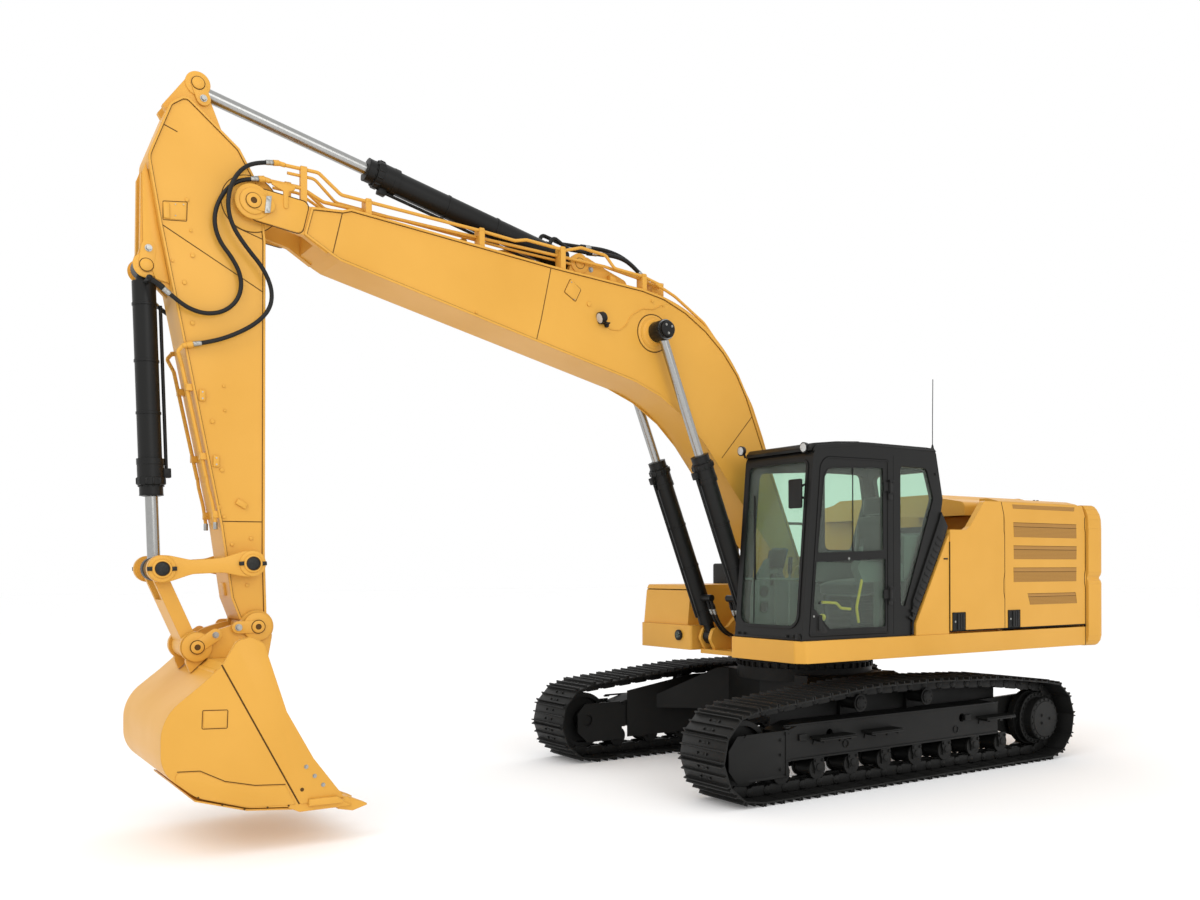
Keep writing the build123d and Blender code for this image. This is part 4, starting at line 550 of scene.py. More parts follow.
def make_track(side, word):
    """One track: its shoes and links, laid along the loop."""
    unit = bmesh.new()
    make_shoe_link(unit)
    mesh = bpy.data.meshes.new("shoe and link")
    unit.to_mesh(mesh)
    unit.free()
    bm = bmesh.new()
    for number in range(SHOE_COUNT):
        first = track_place(number * PITCH + 4)
        last = track_place((number + 1) * PITCH - 4)
        slope = math.atan2(last[1] - first[1], last[0] - first[0])
        part = bmesh.new()
        part.from_mesh(mesh)
        middle = ((first[0] + last[0]) / 2, side * TRACK_Y, (first[1] + last[1]) / 2)
        join(bm, part, Matrix.Translation(middle) @ Matrix.Rotation(-slope, 4, "Y"))
    bpy.data.meshes.remove(mesh)
    finish("track_chain_" + word, "base", TRACK_BLACK, bm, replaces=("track_" + word,))


make_track(1, "left")
make_track(-1, "right")


# ---------------------------------------------------------------- undercarriage
HUB = (-WHEEL_X, WHEEL_Z)                    # the drive sprockets' axle
CARRIERS_X, CARRIER_Z = (616, -296), 762.5   # the carrier rollers
ROLLER_COUNT, ROLLER_SPAN, ROLLER_SHIFT = 8, 3010, 100
STEPS_X = ((833, 1288), (217, 639), (-1446, -996))


def make_undercarriage_details():
    """Drives, rollers, steps and covers outside both track frames, and the slewing bearing's ring."""
    bm = bmesh.new()
    for side in SIDES:
        # final drive: bolted ring, stepped drum and cover with a chamfered edge and plugs
        boss(bm, ((200, 0), (272, 0), (272, 14), (262, 20), (205, 20)), HUB, side * 1392, 48)
        for x, z in circle(26, 250, *HUB):
            bolt(bm, (x, side * 1411, z), 13, washer=False)
        boss(bm, ((205, 0), (222, 0), (222, 88), (214, 98), (190, 100), (184, 108), (60, 112), (0, 112)),
                HUB, side * 1411, 48)
        for x, z in circle(18, 203, *HUB, shift=0.5):
            bolt(bm, (x, side * 1510, z), 10, washer=False)
        for dx, dz in ((60, 40), (60, -40), (-70, 0)):
            bolt(bm, (HUB[0] + dx, side * 1522, HUB[1] + dz), 14)
        # carrier roller covers
        for x in CARRIERS_X:
            boss(bm, ((30, 0), (62, 0), (62, 10), (52, 16), (20, 18), (0, 18)), (x, CARRIER_Z), side * 1407,
                    28)
            for hole_x, hole_z in circle(6, 46, x, CARRIER_Z):
                bolt(bm, (hole_x, side * 1421, hole_z), 8, washer=False)
        # bottom roller collars with their bolts
        for number in range(ROLLER_COUNT):
            x = ROLLER_SHIFT + ROLLER_SPAN * (number / (ROLLER_COUNT - 1) - 0.5)
            prism(bm, ((x - 62, 322), (x - 62, 262), (x - 30, 188), (x + 30, 188), (x + 62, 262),
                    (x + 62, 322)), side * 1425, side * 1434, 3)
            peg(bm, (x, 232), side * 1430, side * 1444, 34, 20, edge=3)
            for dx in (-42, 42):
                bolt(bm, (x + dx, side * 1434, 292), 13)
        # serrated steps on brackets
        for x0, x1 in STEPS_X:
            block(bm, (x0, x1), (side * 1430, side * 1570), (500, 506), 1)
            block(bm, (x0, x1), (side * 1564, side * 1570), (486, 512), 1)
            teeth = int((x1 - x0) / 30)
            for number in range(teeth):
                x = x0 + (x1 - x0) * (number + 0.5) / teeth
                prism(bm, ((x - 9, 505), (x, 520), (x + 9, 505)), side * 1432, side * 1568)
            for x in (x0 + 60, x1 - 60):
                prism(bm, ((x - 25, 440), (x - 5, 500), (x + 5, 500), (x + 25, 440)), side * 1428,
                        side * 1440)
                block(bm, (x - 5, x + 5), (side * 1430, side * 1560), (470, 501), 1)
        # lifting blocks, jacking holes and the frame's flange lines
        for x in (1381, -854):
            block(bm, (x - 45, x + 45), (side * 1428, side * 1452), (488, 545), 5)
        for x in (837, -687):
            boss(bm, ((26, 0), (38, 0), (38, 8), (30, 10), (26, 0)), (x, 412), side * 1430, 24)
        block(bm, (-1340, 1600), (side * 1428, side * 1440), (622, 640), 3)
        block(bm, (-1340, 1600), (side * 1428, side * 1442), (318, 336), 3)
        for z in (330, 622):
            block(bm, (1540, 1600), (side * 1430, side * 1462), (z - 10, z + 6), 3)
        # faceted cover over the idler's fork, with its seam and bolts
        outer = ((1560, 185), (2130, 180), (2225, 300), (2225, 470), (2130, 588), (1560, 598))
        inner = ((1600, 232), (2094, 228), (2172, 318), (2172, 454), (2094, 540), (1600, 550))
        low = [bm.verts.new((x, side * 1436, z)) for x, z in outer]
        edge = [bm.verts.new((x, side * 1444, z)) for x, z in outer]
        high = [bm.verts.new((x, side * 1464, z)) for x, z in inner]
        for ring, above in ((low, edge), (edge, high)):
            for i in range(6):
                bm.faces.new((ring[i], ring[(i + 1) % 6], above[(i + 1) % 6], above[i]))
        bm.faces.new(high)
        bm.faces.new(low)
        block(bm, (1590, 1604), (side * 1436, side * 1470), (200, 585), 3)
        for z in (262, 390, 520):
            bolt(bm, (1660, side * 1464, z), 12)
        # web plate that closes the frame's inner side above the rollers
        prism(bm, ((-1500, 205), (-1500, 590), (-1640, 600), (-1640, 770), (-300, 832), (620, 832),
                (1500, 700), (1500, 205)), side * 1144, side * 1152, 2)
        # drive motor guard on the inside
        boss(bm, ((0, 0), (120, 0), (150, 20), (150, 120), (0, 120)), HUB, side * 960, 28)
    # ring of bolts under the slewing bearing, and the bearing's seal lip
    for x, y in circle(44, 702):
        rod(bm, (x, y, 1000), (x, y, 1046), 17, 6)
    turned(bm, ((690, 0), (712, 0), (712, 8), (690, 10)), (0, 0, 992), (0, 0, 1100), 64)
    turned(bm, ((688, 0), (700, 3), (700, 12), (688, 15)), (0, 0, 1050), (0, 0, 1100), 64)
    # welds where the legs meet the middle
    for sx in SIDES:
        for sy in SIDES:
            weld(bm, (sx * 520, sy * 620, 940), (sx * 620, sy * 700, 935), 7)
    finish("undercarriage_details", "base", TRACK_BLACK, bm)


def make_ring_bolts():
    """Bolts that hang under the turning frame round the upper ring, with a stepped ring above them."""
    bm = bmesh.new()
    turned(bm, ((640, 0), (712, 0), (716, 6), (716, 22), (640, 22)), (0, 0, 1106), (0, 0, 1200), 64)
    for x, y in circle(40, 690):
        rod(bm, (x, y, 1072), (x, y, 1106), 19, 6)
    finish("slewing_ring_bolts", "house", TRACK_BLACK, bm)


make_undercarriage_details()
make_ring_bolts()


# ---------------------------------------------------------------- boom
BOOM_SIDE = ((5365, 4812), (5120, 4830), (5049, 4855), (3229, 4686), (1330, 4555, 1500), (205, 1935),
        (455, 1935), (1269, 2914), (1850, 3625, 1500), (5140, 4429), (5200, 4460), (5424, 4590))
# pins and the outer faces that parts stand on, in x and z and in y
BOOM_FOOT, BOOM_TIP, ROD_PIN, BOOM_CYLINDER_PIN = (330, 1935), (5811, 4771), (2125, 4220), (968, 1306)
STICK_CYLINDER_PIN, STICK_TOP, BUCKET_CYLINDER_PIN = (2861, 4790), (6175, 5607), (6533, 4211)
IDLER_PIN, LINK_PIN, BUCKET_PIN, POWER_PIN = (5829, 2058), (6464, 2020), (5784, 1585), (6220, 1449)
BOOM_SKIN, STICK_SKIN, BUCKET_SKIN, BODY_SIDE = 225, 165, 715, 1436


def make_boom_plates():
    """What is welded on the boom's sides: flange edges, doublers, pads and stepped bosses."""
    bm = bmesh.new()
    for side in SIDES:
        skin = side * BOOM_SKIN
        rim(bm, BOOM_SIDE, skin, skin + side * 12, 18)
        # cone and collar round the boom cylinders' pin
        boss(bm, ((60, 0), (172, 0), (168, 6), (130, 16), (112, 34), (104, 60), (60, 60)), ROD_PIN, skin,
                48)
        # tip: doubler plate, boss and stepped end, and the pin's keeper lug
        prism(bm, ((5380, 4838, 50), (5720, 4876, 30), (5890, 4860, 90), (5928, 4730, 100),
                (5790, 4636, 60), (5440, 4590, 55)), side * 224, side * 233, 3)
        boss(bm, ((56, 0), (132, 0), (132, 12), (126, 16), (100, 16), (98, 26), (90, 30), (56, 30)),
                BOOM_TIP, side * 225, 48)
        lug(bm, BOOM_TIP, (5708, 4757), 58, side * 250, side * 260)
        boss(bm, ((24, 0), (54, 0), (54, 6), (50, 9), (24, 9)), BOOM_TIP, side * 260)
        # access plate set on its corner, and plugs
        prism(bm, ((3026, 4595, 12), (2924, 4518, 12), (2979, 4408, 12), (3090, 4474, 12)), skin,
                side * 232, 2)
        for x, z, radius in ((2835, 4401, 22), (2135, 4522, 14), (2011, 4496, 12), (3960, 4180, 12)):
            peg(bm, (x, z), skin, side * 234, radius, 18, edge=3)
        # foot boss
        boss(bm, ((70, 0), (150, 0), (150, 6), (140, 8), (70, 8)), BOOM_FOOT, side * 228, 40)
        # the stick cylinder's lugs: bosses, pin faces and keeper lugs
        boss(bm, ((50, 0), (92, 0), (92, 8), (86, 11), (50, 11)), STICK_CYLINDER_PIN, side * 105)
        boss(bm, ((0, 0), (46, 0), (46, 9), (42, 12), (0, 12)), STICK_CYLINDER_PIN, side * 109)
        prism(bm, ((2480, 4640), (2560, 4640), (2560, 4720), (2500, 4700)), side * 100, side * 160, 3)
    for x, z in ((4550, 4813), (2700, 4650)):
        block(bm, (x - 90, x + 90), (-60, 60), (z - 6, z + 10), 4, turn=-5)
    finish("boom_plates", "boom", YELLOW, bm)
    # painted shade: brown lines inside the flange rims, along the welds and round the doubler, access plate
    # and bosses
    bm = bmesh.new()
    for side in SIDES:
        skin = side * BOOM_SKIN
        rim(bm, BOOM_SIDE, skin, skin + side * 1.5, 6, 18)
        for run in (((3225, 4686), (3330, 4200), (3376, 4020)), ((903, 3539), (1299, 3096)),
                ((5117, 4818), (5199, 4469))):
            strip(bm, run, skin, skin + side * 1.6, 7)
        rim(bm, ((5372, 4846, 50), (5722, 4885, 30), (5898, 4866, 90), (5937, 4728, 100), (5794, 4627, 60),
                (5434, 4581, 55)), side * 224, side * 226.6, 7)
        boss(bm, ((172, 0), (181, 0), (181, 1.6), (172, 1.6)), ROD_PIN, skin, 48)
        rim(bm, ((3034, 4602, 12), (2915, 4520, 12), (2976, 4399, 12), (3099, 4472, 12)), skin,
                side * 226.2, 5)
        boss(bm, ((46, 0), (51, 0), (51, 1.5), (46, 1.5)), STICK_CYLINDER_PIN, side * 116)
        boss(bm, ((0, 0), (24, 0), (24, 4), (0, 4)), BOOM_TIP, side * 261, 24)
        boss(bm, ((54, 0), (59, 0), (59, 2), (54, 2)), BOOM_TIP, side * 260)
    finish("boom_seam_shade", "boom", SEAM_SHADE, bm)


def make_boom_hardware():
    """Plated bolts and keeper plates on the boom."""
    bm = bmesh.new()
    for side in SIDES:
        prism(bm, ((5678, 4828), (5718, 4820), (5731, 4690), (5690, 4698)), side * 258, side * 266, 2)
        for x, z in ((5702, 4802), (5706, 4716)):
            bolt(bm, (x, side * 266, z), 10)
        for x, z in ((3022, 4570), (2996, 4420)):
            bolt(bm, (x, side * 231, z), 6, washer=False)
        bolt(bm, (2739, side * 104, 4753), 19)
    finish("boom_hardware", "boom", ZINC, bm)
    pipe("boom_lamp_wire", "boom", YELLOW, [[(2640, 228, 4226), (2605, 228, 4199), (2505, 228, 4200),
            (2429, 228, 4262), (2378, 228, 4352), (2249, 228, 4436), (2119, 228, 4445), (2040, 228, 4492)]],
            4, bend=40)


def make_boom_pin_caps():
    """Black end caps of the boom cylinders' pin, each with three bolts."""
    bm = bmesh.new()
    for side in SIDES:
        boss(bm, ((0, 0), (74, 0), (74, 14), (66, 22), (0, 22)), ROD_PIN, side * 456.5, 32)
    finish("boom_pin_caps", "boom_cylinder_rods", BLACK, bm)
    bm = bmesh.new()
    for side in SIDES:
        for dx, dz in ((-34, 24), (30, 34), (4, -42)):
            bolt(bm, (ROD_PIN[0] + dx, side * 478, ROD_PIN[1] + dz), 9)
    finish("boom_pin_cap_bolts", "boom_cylinder_rods", ZINC, bm)


def make_boom_lamp():
    """The boom's work lamp on its bracket, with a clear lens."""
    bm = bmesh.new()
    block(bm, (2640, 2735), (224, 262), (4236, 4250), 3)
    turned(bm, ((0, 0), (40, 0), (52, 16), (54, 60), (48, 64), (44, 58), (0, 56)), (2690, 268, 4296),
            (2770, 268, 4268), 28)
    block(bm, (2650, 2700), (240, 296), (4232, 4246), 3)
    peg(bm, (2652, 4229), 226, 250, 20, 16, edge=3)
    finish("boom_work_lamp", "boom", PLASTIC, bm)
    bm = bmesh.new()
    turned(bm, ((0, 0), (44, 0), (44, 4), (30, 8), (0, 10)), (2746, 268, 4277), (2826, 268, 4249), 28)
    finish("boom_lamp_lens", "boom", LENS, bm)


make_boom_plates()
make_boom_hardware()
make_boom_pin_caps()
make_boom_lamp()


def make_line_clamps():
    """Clamps that hold the steel lines to the boom, with their bolts."""
    bm = bmesh.new()
    for x, z in ((4900, 4946), (3900, 4885), (3100, 4857), (2217, 4746)):
        for side in SIDES:
            block(bm, (x - 22, x + 22), (side * 128, side * 224), (z - 4, z + 22), 4)
            bolt(bm, (x, side * 176, z + 22), 9, (0, 0, 1))
    for side in SIDES:
        prism(bm, ((5670, 4944), (5495, 4944), (5495, 4915), (5543, 4890), (5549, 4760, 14),
                (5580, 4760, 14), (5584, 4890), (5670, 4925)), side * 226, side * 242, 3)
    finish("line_clamps", "boom", YELLOW, bm)
    pipe("hump_lines", "boom", YELLOW, [[(5540, side * 194, 5050), (5330, side * 194, 5045),
            (5140, side * 130, 4915), (3560, side * 112, 4800),
            (2950, side * 112, 4770)] for side in SIDES], 12)
    pipe("hump_lines_low", "boom", YELLOW, [[(2080, side * 200, 4700), (1850, side * 200, 4610),
            (1500, side * 200, 4400), (1150, side * 200, 4030), (900, side * 200, 3640),
            (760, side * 195, 3330), (700, side * 190, 3180)] for side in SIDES], 14)


make_line_clamps()


# ---------------------------------------------------------------- stick
STICK_SIDE = ((6270, 5485, 60), (6380, 5400, 60), (6533, 4990, 120), (6455, 4521), (6034, 2340),
        (5960, 1800), (5900, 1640), (5784, 1585), (5700, 1640), (5712, 2129), (5700, 4500), (5738, 4902),
        (5891, 5169))


def make_stick_plates():
    """What is on the stick: flange edges, doublers, bosses, painted shade along its seams, bolts and its low
    steel lines.
    """
    bm = bmesh.new()
    for side in SIDES:
        skin = side * STICK_SKIN
        rim(bm, STICK_SIDE, skin, skin + side * 11, 16)
        # round doubler about the tip pin, stepped pad, raised bars and small plugs
        peg(bm, BOOM_TIP, skin, side * 171, 210, 48, edge=3)
        prism(bm, ((6420, 4672, 10), (6268, 4694, 10), (6273, 4566, 10), (6421, 4549, 10)), skin,
                side * 172, 2)
        block(bm, (6385, 6428), (skin, side * 180), (4556, 4670), 4, turn=2)
        for x, z, radius in ((6264, 4716, 15), (6238, 4495, 11), (6365, 4256, 11), (6226, 4316, 17),
                (6283, 4110, 17), (6228, 3821, 17), (6008, 3377, 11), (6001, 3197, 11), (6090, 3110, 17),
                (6023, 2754, 17), (6046, 2476, 17), (6006, 2405, 14), (5951, 2202, 15), (5812, 2248, 15),
                (5842, 1894, 14)):
            peg(bm, (x, z), skin, side * 173, radius, 16, edge=3)
        for x, z, tilt in ((6162, 3296, 0), (6065, 2816, 0), (5882, 2505, 60)):
            block(bm, (x - 22, x + 22), (skin, side * 183), (z - 42, z + 42), 5, turn=tilt)
        # lug bosses and keeper lugs at the top and at the bucket cylinder's pin
        for (x, z), keeper, face in ((STICK_TOP, (6137, 5502), 110),
                (BUCKET_CYLINDER_PIN, (6519, 4334), 105)):
            boss(bm, ((46, 0), (90, 0), (90, 7), (84, 10), (46, 10)), (x, z), side * face, 40)
            lug(bm, (x, z), keeper, 52, side * (face + 8), side * (face + 18))
            boss(bm, ((0, 0), (44, 0), (44, 6), (40, 9), (0, 9)), (x, z), side * (face + 18))
        # long gussets that carry the bucket cylinder's lugs down the front
        prism(bm, ((6455, 4521), (6500, 4800), (6535, 4950), (6560, 4880, 30), (6556, 4330), (6470, 4120),
                (6376, 4100)), side * 106, side * 122, 3)
        # boss of the idler links' pin
        boss(bm, ((48, 0), (90, 0), (90, 8), (82, 10), (48, 10)), IDLER_PIN, side * 206, 32)
    block(bm, (5964, 5982), (-48, 48), (1815, 1915), 4, turn=8)
    for side in SIDES:
        block(bm, (6040, 6088), (side * 128, side * 168), (2395, 2450), 5)
    finish("stick_plates", "stick", YELLOW, bm)
    pipe("stick_lines_low", "stick", YELLOW, [[(6129, side * 140, 2712), (6120, side * 142, 2640),
            (6086, side * 150, 2500), (6066, side * 150, 2360)] for side in SIDES], 13)
    # painted shade: brown lines inside the flange rims, along the welds and round the pad and bosses
    bm = bmesh.new()
    for side in SIDES:
        skin = side * STICK_SKIN
        rim(bm, STICK_SIDE, skin, skin + side * 1.5, 5, 16)
        for run in (((6452, 4516), (5722, 4120)), ((5932, 4582), (5722, 4519)),
                ((6034, 2372), (5722, 2374)), ((6440, 5240), (6330, 5200))):
            strip(bm, run, skin, skin + side * 1.6, 7)
        rim(bm, ((6431, 4681, 10), (6259, 4704, 10), (6264, 4557, 10), (6432, 4540, 10)), skin,
                skin + side * 1.2, 5)
        boss(bm, ((210, 0), (217, 0), (217, 1.5), (210, 1.5)), BOOM_TIP, skin, 48)
        for (x, z), face in ((STICK_TOP, 128), (BUCKET_CYLINDER_PIN, 123)):
            boss(bm, ((44, 0), (50, 0), (50, 2), (44, 2)), (x, z), side * face)
    finish("stick_seam_shade", "stick", SEAM_SHADE, bm)
    bm = bmesh.new()
    for side in SIDES:
        for x, z in ((6290, 4675), (6345, 4667), (6345, 4585)):
            bolt(bm, (x, side * 171, z), 5, washer=False)
        bolt(bm, (6137, side * 128, 5502), 20)
        bolt(bm, (6519, side * 123, 4334), 20)
        rod(bm, (6066, side * 150, 2312), (6066, side * 150, 2365), 17, 6, edge=2)
        for x, z in ((6162, 3272), (6162, 3320), (6065, 2792), (6065, 2840)):
            peg(bm, (x, z), side * 182, side * 185, 6, 10)
    finish("stick_hardware", "stick", ZINC, bm)


make_stick_plates()


# ---------------------------------------------------------------- cylinders
CYLINDERS = (
    # name, pins at its foot and tip, places in y, barrel's length, radii of barrel, collar and rod
    ("stick_cylinder", STICK_CYLINDER_PIN, STICK_TOP, (0,), 1965, 96, 108, 50),
    ("bucket_cylinder", BUCKET_CYLINDER_PIN, LINK_PIN, (0,), 1580, 82, 92, 45),
    ("boom_cylinder", BOOM_CYLINDER_PIN, ROD_PIN, (350, -350), 1840, 88, 98, 44),
)


def make_cylinder_details():
    """Gland heads with bolts, weld rings, port blocks and side pipes on each barrel."""
    for name, base, tip, levels, length, radius, collar, bore in CYLINDERS:
        body = name + "_barrels" if name == "boom_cylinder" else name + "_barrel"
        bm = bmesh.new()
        for y in levels:
            start = Vector((base[0], y, base[1]))
            line = (Vector((tip[0], y, tip[1])) - start).normalized()
            across = line.cross(Vector((0, 1, 0))).normalized()
            head = start + line * length
            turned(bm, ((radius, -196), (collar + 3, -194), (collar + 3, -150), (collar - 2, -146),
                    (collar - 2, -60), (collar + 6, -56), (collar + 6, -4), (collar, 0), (radius, 2)), head,
                    head + line, 36)
            turned(bm, ((bore + 6, 68), (radius + 2, 70), (radius + 2, 76), (bore + 12, 82),
                    (bore + 2, 82)), head, head + line, 36)
            for number in range(12):
                angle = 2 * math.pi * number / 12
                out = across * math.cos(angle) + Vector((0, 1, 0)) * math.sin(angle)
                bolt(bm, head + line * 2 + out * (collar - 8), 9, line, washer=False)
                tab = bmesh.new()
                block(tab, (-7, 7), (-7, 7), (-22, 22), 2)
                join(bm, tab, along(head - line * 30 + out * (collar + 4), head + out * (collar + 4)))
            for share in (0.16, 0.42, 0.66):
                turned(bm, ((radius - 1, 0), (radius + 5, 2), (radius + 5, 20), (radius - 1, 22)),
                        start + line * length * share, head, 32)
            # the port pipe that runs along the barrel, and its block
            lift = -across * (radius + 26)
            rod(bm, head - line * 80 + lift, start + line * 260 + lift, 13, 14)
            port = bmesh.new()
            block(port, (-28, 28), (-30, 30), (-35, 35), 6)
            join(bm, port, along(head - line * 90 + lift, head + lift))
        finish(name + "_glands", body, BLACK, bm)


def make_rod_eyes():
    """Black sleeves round the rods' chromed eyes, and round the boom cylinders' pin outside them."""
    for body, (x, z), radius, runs in (("boom_cylinder_rods", ROD_PIN, 92, ((268, 437), (-268, -437))),
            ("stick_cylinder_rod", STICK_TOP, 82, ((-54, 54),)), ("bucket_cylinder_rod", LINK_PIN, 84,
            ((-54, 54),))):
        bm = bmesh.new()
        for y0, y1 in runs:
            width = abs(y1 - y0)
            turned(bm, ((radius - 20, 0), (radius + 1, 0), (radius + 3, 3), (radius + 3, width - 3),
                    (radius + 1, width), (radius - 20, width), (radius - 20, 0)), (x, y0, z), (x, y1, z),
                    36)
        if body == "boom_cylinder_rods":
            for side in SIDES:
                boss(bm, ((60, 0), (81, 0), (83, 2), (83, 18), (60, 18), (60, 0)), (x, z), side * 438)
        finish(body + "_eyes", body, BLACK, bm)


make_cylinder_details()
make_rod_eyes()


# ---------------------------------------------------------------- linkage and bucket
def make_link_details():
    """Bosses, swelling plates and pins of the idler links, with rings of painted shade round the pins."""
    bm = bmesh.new()
    for side in SIDES:
        for x, z in (IDLER_PIN, LINK_PIN):
            boss(bm, ((50, 0), (96, 0), (96, 8), (90, 12), (70, 12), (66, 22), (58, 26), (50, 26)), (x, z),
                    side * 275)
        # dog-bone plate that swells smoothly into both bosses
        x, z = IDLER_PIN
        turn = math.atan2(LINK_PIN[1] - z, LINK_PIN[0] - x)
        bone = [(x + u * math.cos(turn) - v * math.sin(turn), z + u * math.sin(turn) + v * math.cos(turn),
                r) for u, v, r in ((-20, 97, 40), (50, 97, 200), (220, 52, 260), (420, 48, 260),
                (590, 96, 200), (656, 97, 40), (656, -97, 40), (590, -96, 200), (420, -48, 260),
                (220, -52, 260), (50, -97, 200), (-20, -97, 40))]
        prism(bm, bone, side * 252, side * 276, 3)
    finish("idler_link_bosses", "idler_links", YELLOW, bm)
    bm = bmesh.new()
    for side in SIDES:
        for x, z in (IDLER_PIN, LINK_PIN):
            peg(bm, (x, z), side * 286, side * 299, 48, 28, edge=4)
            for step in (-76, 76):
                block(bm, (x + step - 24, x + step + 24), (side * 275, side * 296), (z - 15, z + 15), 4,
                        turn=3.4)
    finish("idler_link_pins", "idler_links", PIN_STEEL, bm)
    # painted shade: brown rings round the pins where they meet the bosses
    bm = bmesh.new()
    for side in SIDES:
        for x, z in (IDLER_PIN, LINK_PIN):
            boss(bm, ((48, 0), (53, 0), (53, 2), (48, 2)), (x, z), side * 300)
    finish("idler_link_pin_shade", "idler_links", SEAM_SHADE, bm)


make_link_details()


def make_bucket_details():
    """Wear plates, tooth adapters, pin bosses, painted shade along the seams, and bolts of the bucket."""
    bm = bmesh.new()
    for side in SIDES:
        skin = side * BUCKET_SKIN
        # thicker cutting side along the mouth, heel plate and a bare raised pad
        prism(bm, ((6155, 1351), (5618, 321), (5290, 330), (5519, 640), (5712, 993), (5871, 1490, 50),
                (5960, 1538, 50), (6058, 1512, 60)), skin, side * 723, 2)
        prism(bm, ((6470, 632, 30), (6306, 621, 60), (6141, 533, 150), (5936, 482, 150), (5725, 465),
                (5652, 322), (5990, 344), (6330, 450, 200), (6462, 560, 40)), skin, side * 721, 2)
        prism(bm, ((6281, 1039, 12), (6126, 1031, 12), (6131, 915, 12), (6286, 923, 12)), skin, side * 721,
                2)
        # lip shroud at the corner
        prism(bm, ((5560, 350), (5350, 348, 10), (5300, 312), (5320, 296), (5560, 300)), skin, side * 748,
                5)
    prism(bm, ((5560, 272), (5990, 314), (6340, 420), (6340, 432), (5990, 326), (5560, 284)), -706, 706, 3)
    # teeth adapters and shrouds between them
    pitch = (2 * BUCKET_SKIN - 130) / 4
    for number in range(5):
        y = 65 - BUCKET_SKIN + number * pitch
        prism(bm, ((5420, 262), (5420, 330), (5330, 336), (5250, 330), (5235, 262)), y - 58, y + 58, 5)
        if number < 4:
            middle = y + pitch / 2
            prism(bm, ((5290, 258), (5290, 306), (5240, 300), (5212, 276), (5228, 256)), middle - 90,
                    middle + 90, 4)
    peg(bm, (6180, 1290), -690, 690, 30, 20)
    for side in SIDES:
        for (x, z), keeper in ((BUCKET_PIN, (5928, 1584)), (POWER_PIN, (6092, 1534))):
            boss(bm, ((44, 0), (106, 0), (106, 6), (100, 9), (44, 9)), (x, z), side * 240, 40)
            lug(bm, (x, z), keeper, 46, side * 247, side * 258)
            boss(bm, ((22, 0), (46, 0), (46, 5), (42, 8), (22, 8)), (x, z), side * 258)
    finish("bucket_plates", "bucket", YELLOW, bm)
    # painted shade: brown lines along the cutting side and heel plate, round the pad, plugs and pin bosses
    bm = bmesh.new()
    for side in SIDES:
        skin = side * BUCKET_SKIN
        strip(bm, ((6161, 1351), (5624, 321)), skin, side * 716.6, 10)
        strip(bm, ((6455, 638), (6306, 630), (6141, 541), (5936, 490), (5722, 473)), skin, side * 716.4, 6)
        rim(bm, ((6291, 1047, 12), (6117, 1039, 12), (6122, 906, 12), (6296, 914, 12)), skin, side * 716.2,
                5)
        for x in (5700, 5850, 6010, 6160, 6320):
            z = 318 + (x - 5700) * 0.03 + max(0, x - 5990) ** 1.3 * 0.06
            peg(bm, (x, z), skin, side * 722, 7, 10)
        peg(bm, (5605, 423), side * 722, side * 727, 14, 16, edge=2)
        for x, z in (BUCKET_PIN, POWER_PIN):
            boss(bm, ((46, 0), (52, 0), (52, 2), (46, 2)), (x, z), side * 258)
            boss(bm, ((0, 0), (24, 0), (24, 5), (0, 5)), (x, z), side * 259, 24)
    finish("bucket_seam_shade", "bucket", SEAM_SHADE, bm)
    bm = bmesh.new()
    for side in SIDES:
        for x, z in ((5574, 585), (5512, 512), (5450, 441)):
            bolt(bm, (x, side * 722, z), 12)
        bolt(bm, (5928, side * 258, 1584), 20)
        bolt(bm, (6092, side * 258, 1534), 18)
    finish("bucket_bolts", "bucket", ZINC, bm)


make_bucket_details()


# ---------------------------------------------------------------- body panels
def make_latch(black, silver, x, z, side=1):
    """A flush paddle latch: dark tray, ribbed upright paddle and a key barrel."""
    y = side * BODY_SIDE
    block(black, (x - 98, x + 98), (y - side * 6, y + side * 3), (z - 92, z + 92), 3)
    rim(black, ((x - 98, z - 92), (x + 98, z - 92), (x + 98, z + 92), (x - 98, z + 92)), y + side * 2,
            y + side * 8, 8)
    for left in (-80, -42, -4):
        block(black, (x + left, x + left + 32), (y, y + side * 14), (z - 80, z + 80), 5)
    peg(silver, (x + 58, z), y + side * 2, y + side * 9, 11, 16, edge=2)


def make_latches():
    """The latches and keys of the side doors."""
    for body, x, z, side in (("left_front_door", -731, 1478, 1), ("left_rear_door", -1600, 1482, 1),
            ("right_side_door", -1560, 1500, -1)):
        black, silver = bmesh.new(), bmesh.new()
        make_latch(black, silver, x, z, side)
        finish(body + "_latch", body, PLASTIC, black)
        finish(body + "_key", body, ZINC, silver)


make_latches()


SCREEN_SHARE = 0.72                          # of a slot's height; the folded lip takes the rest


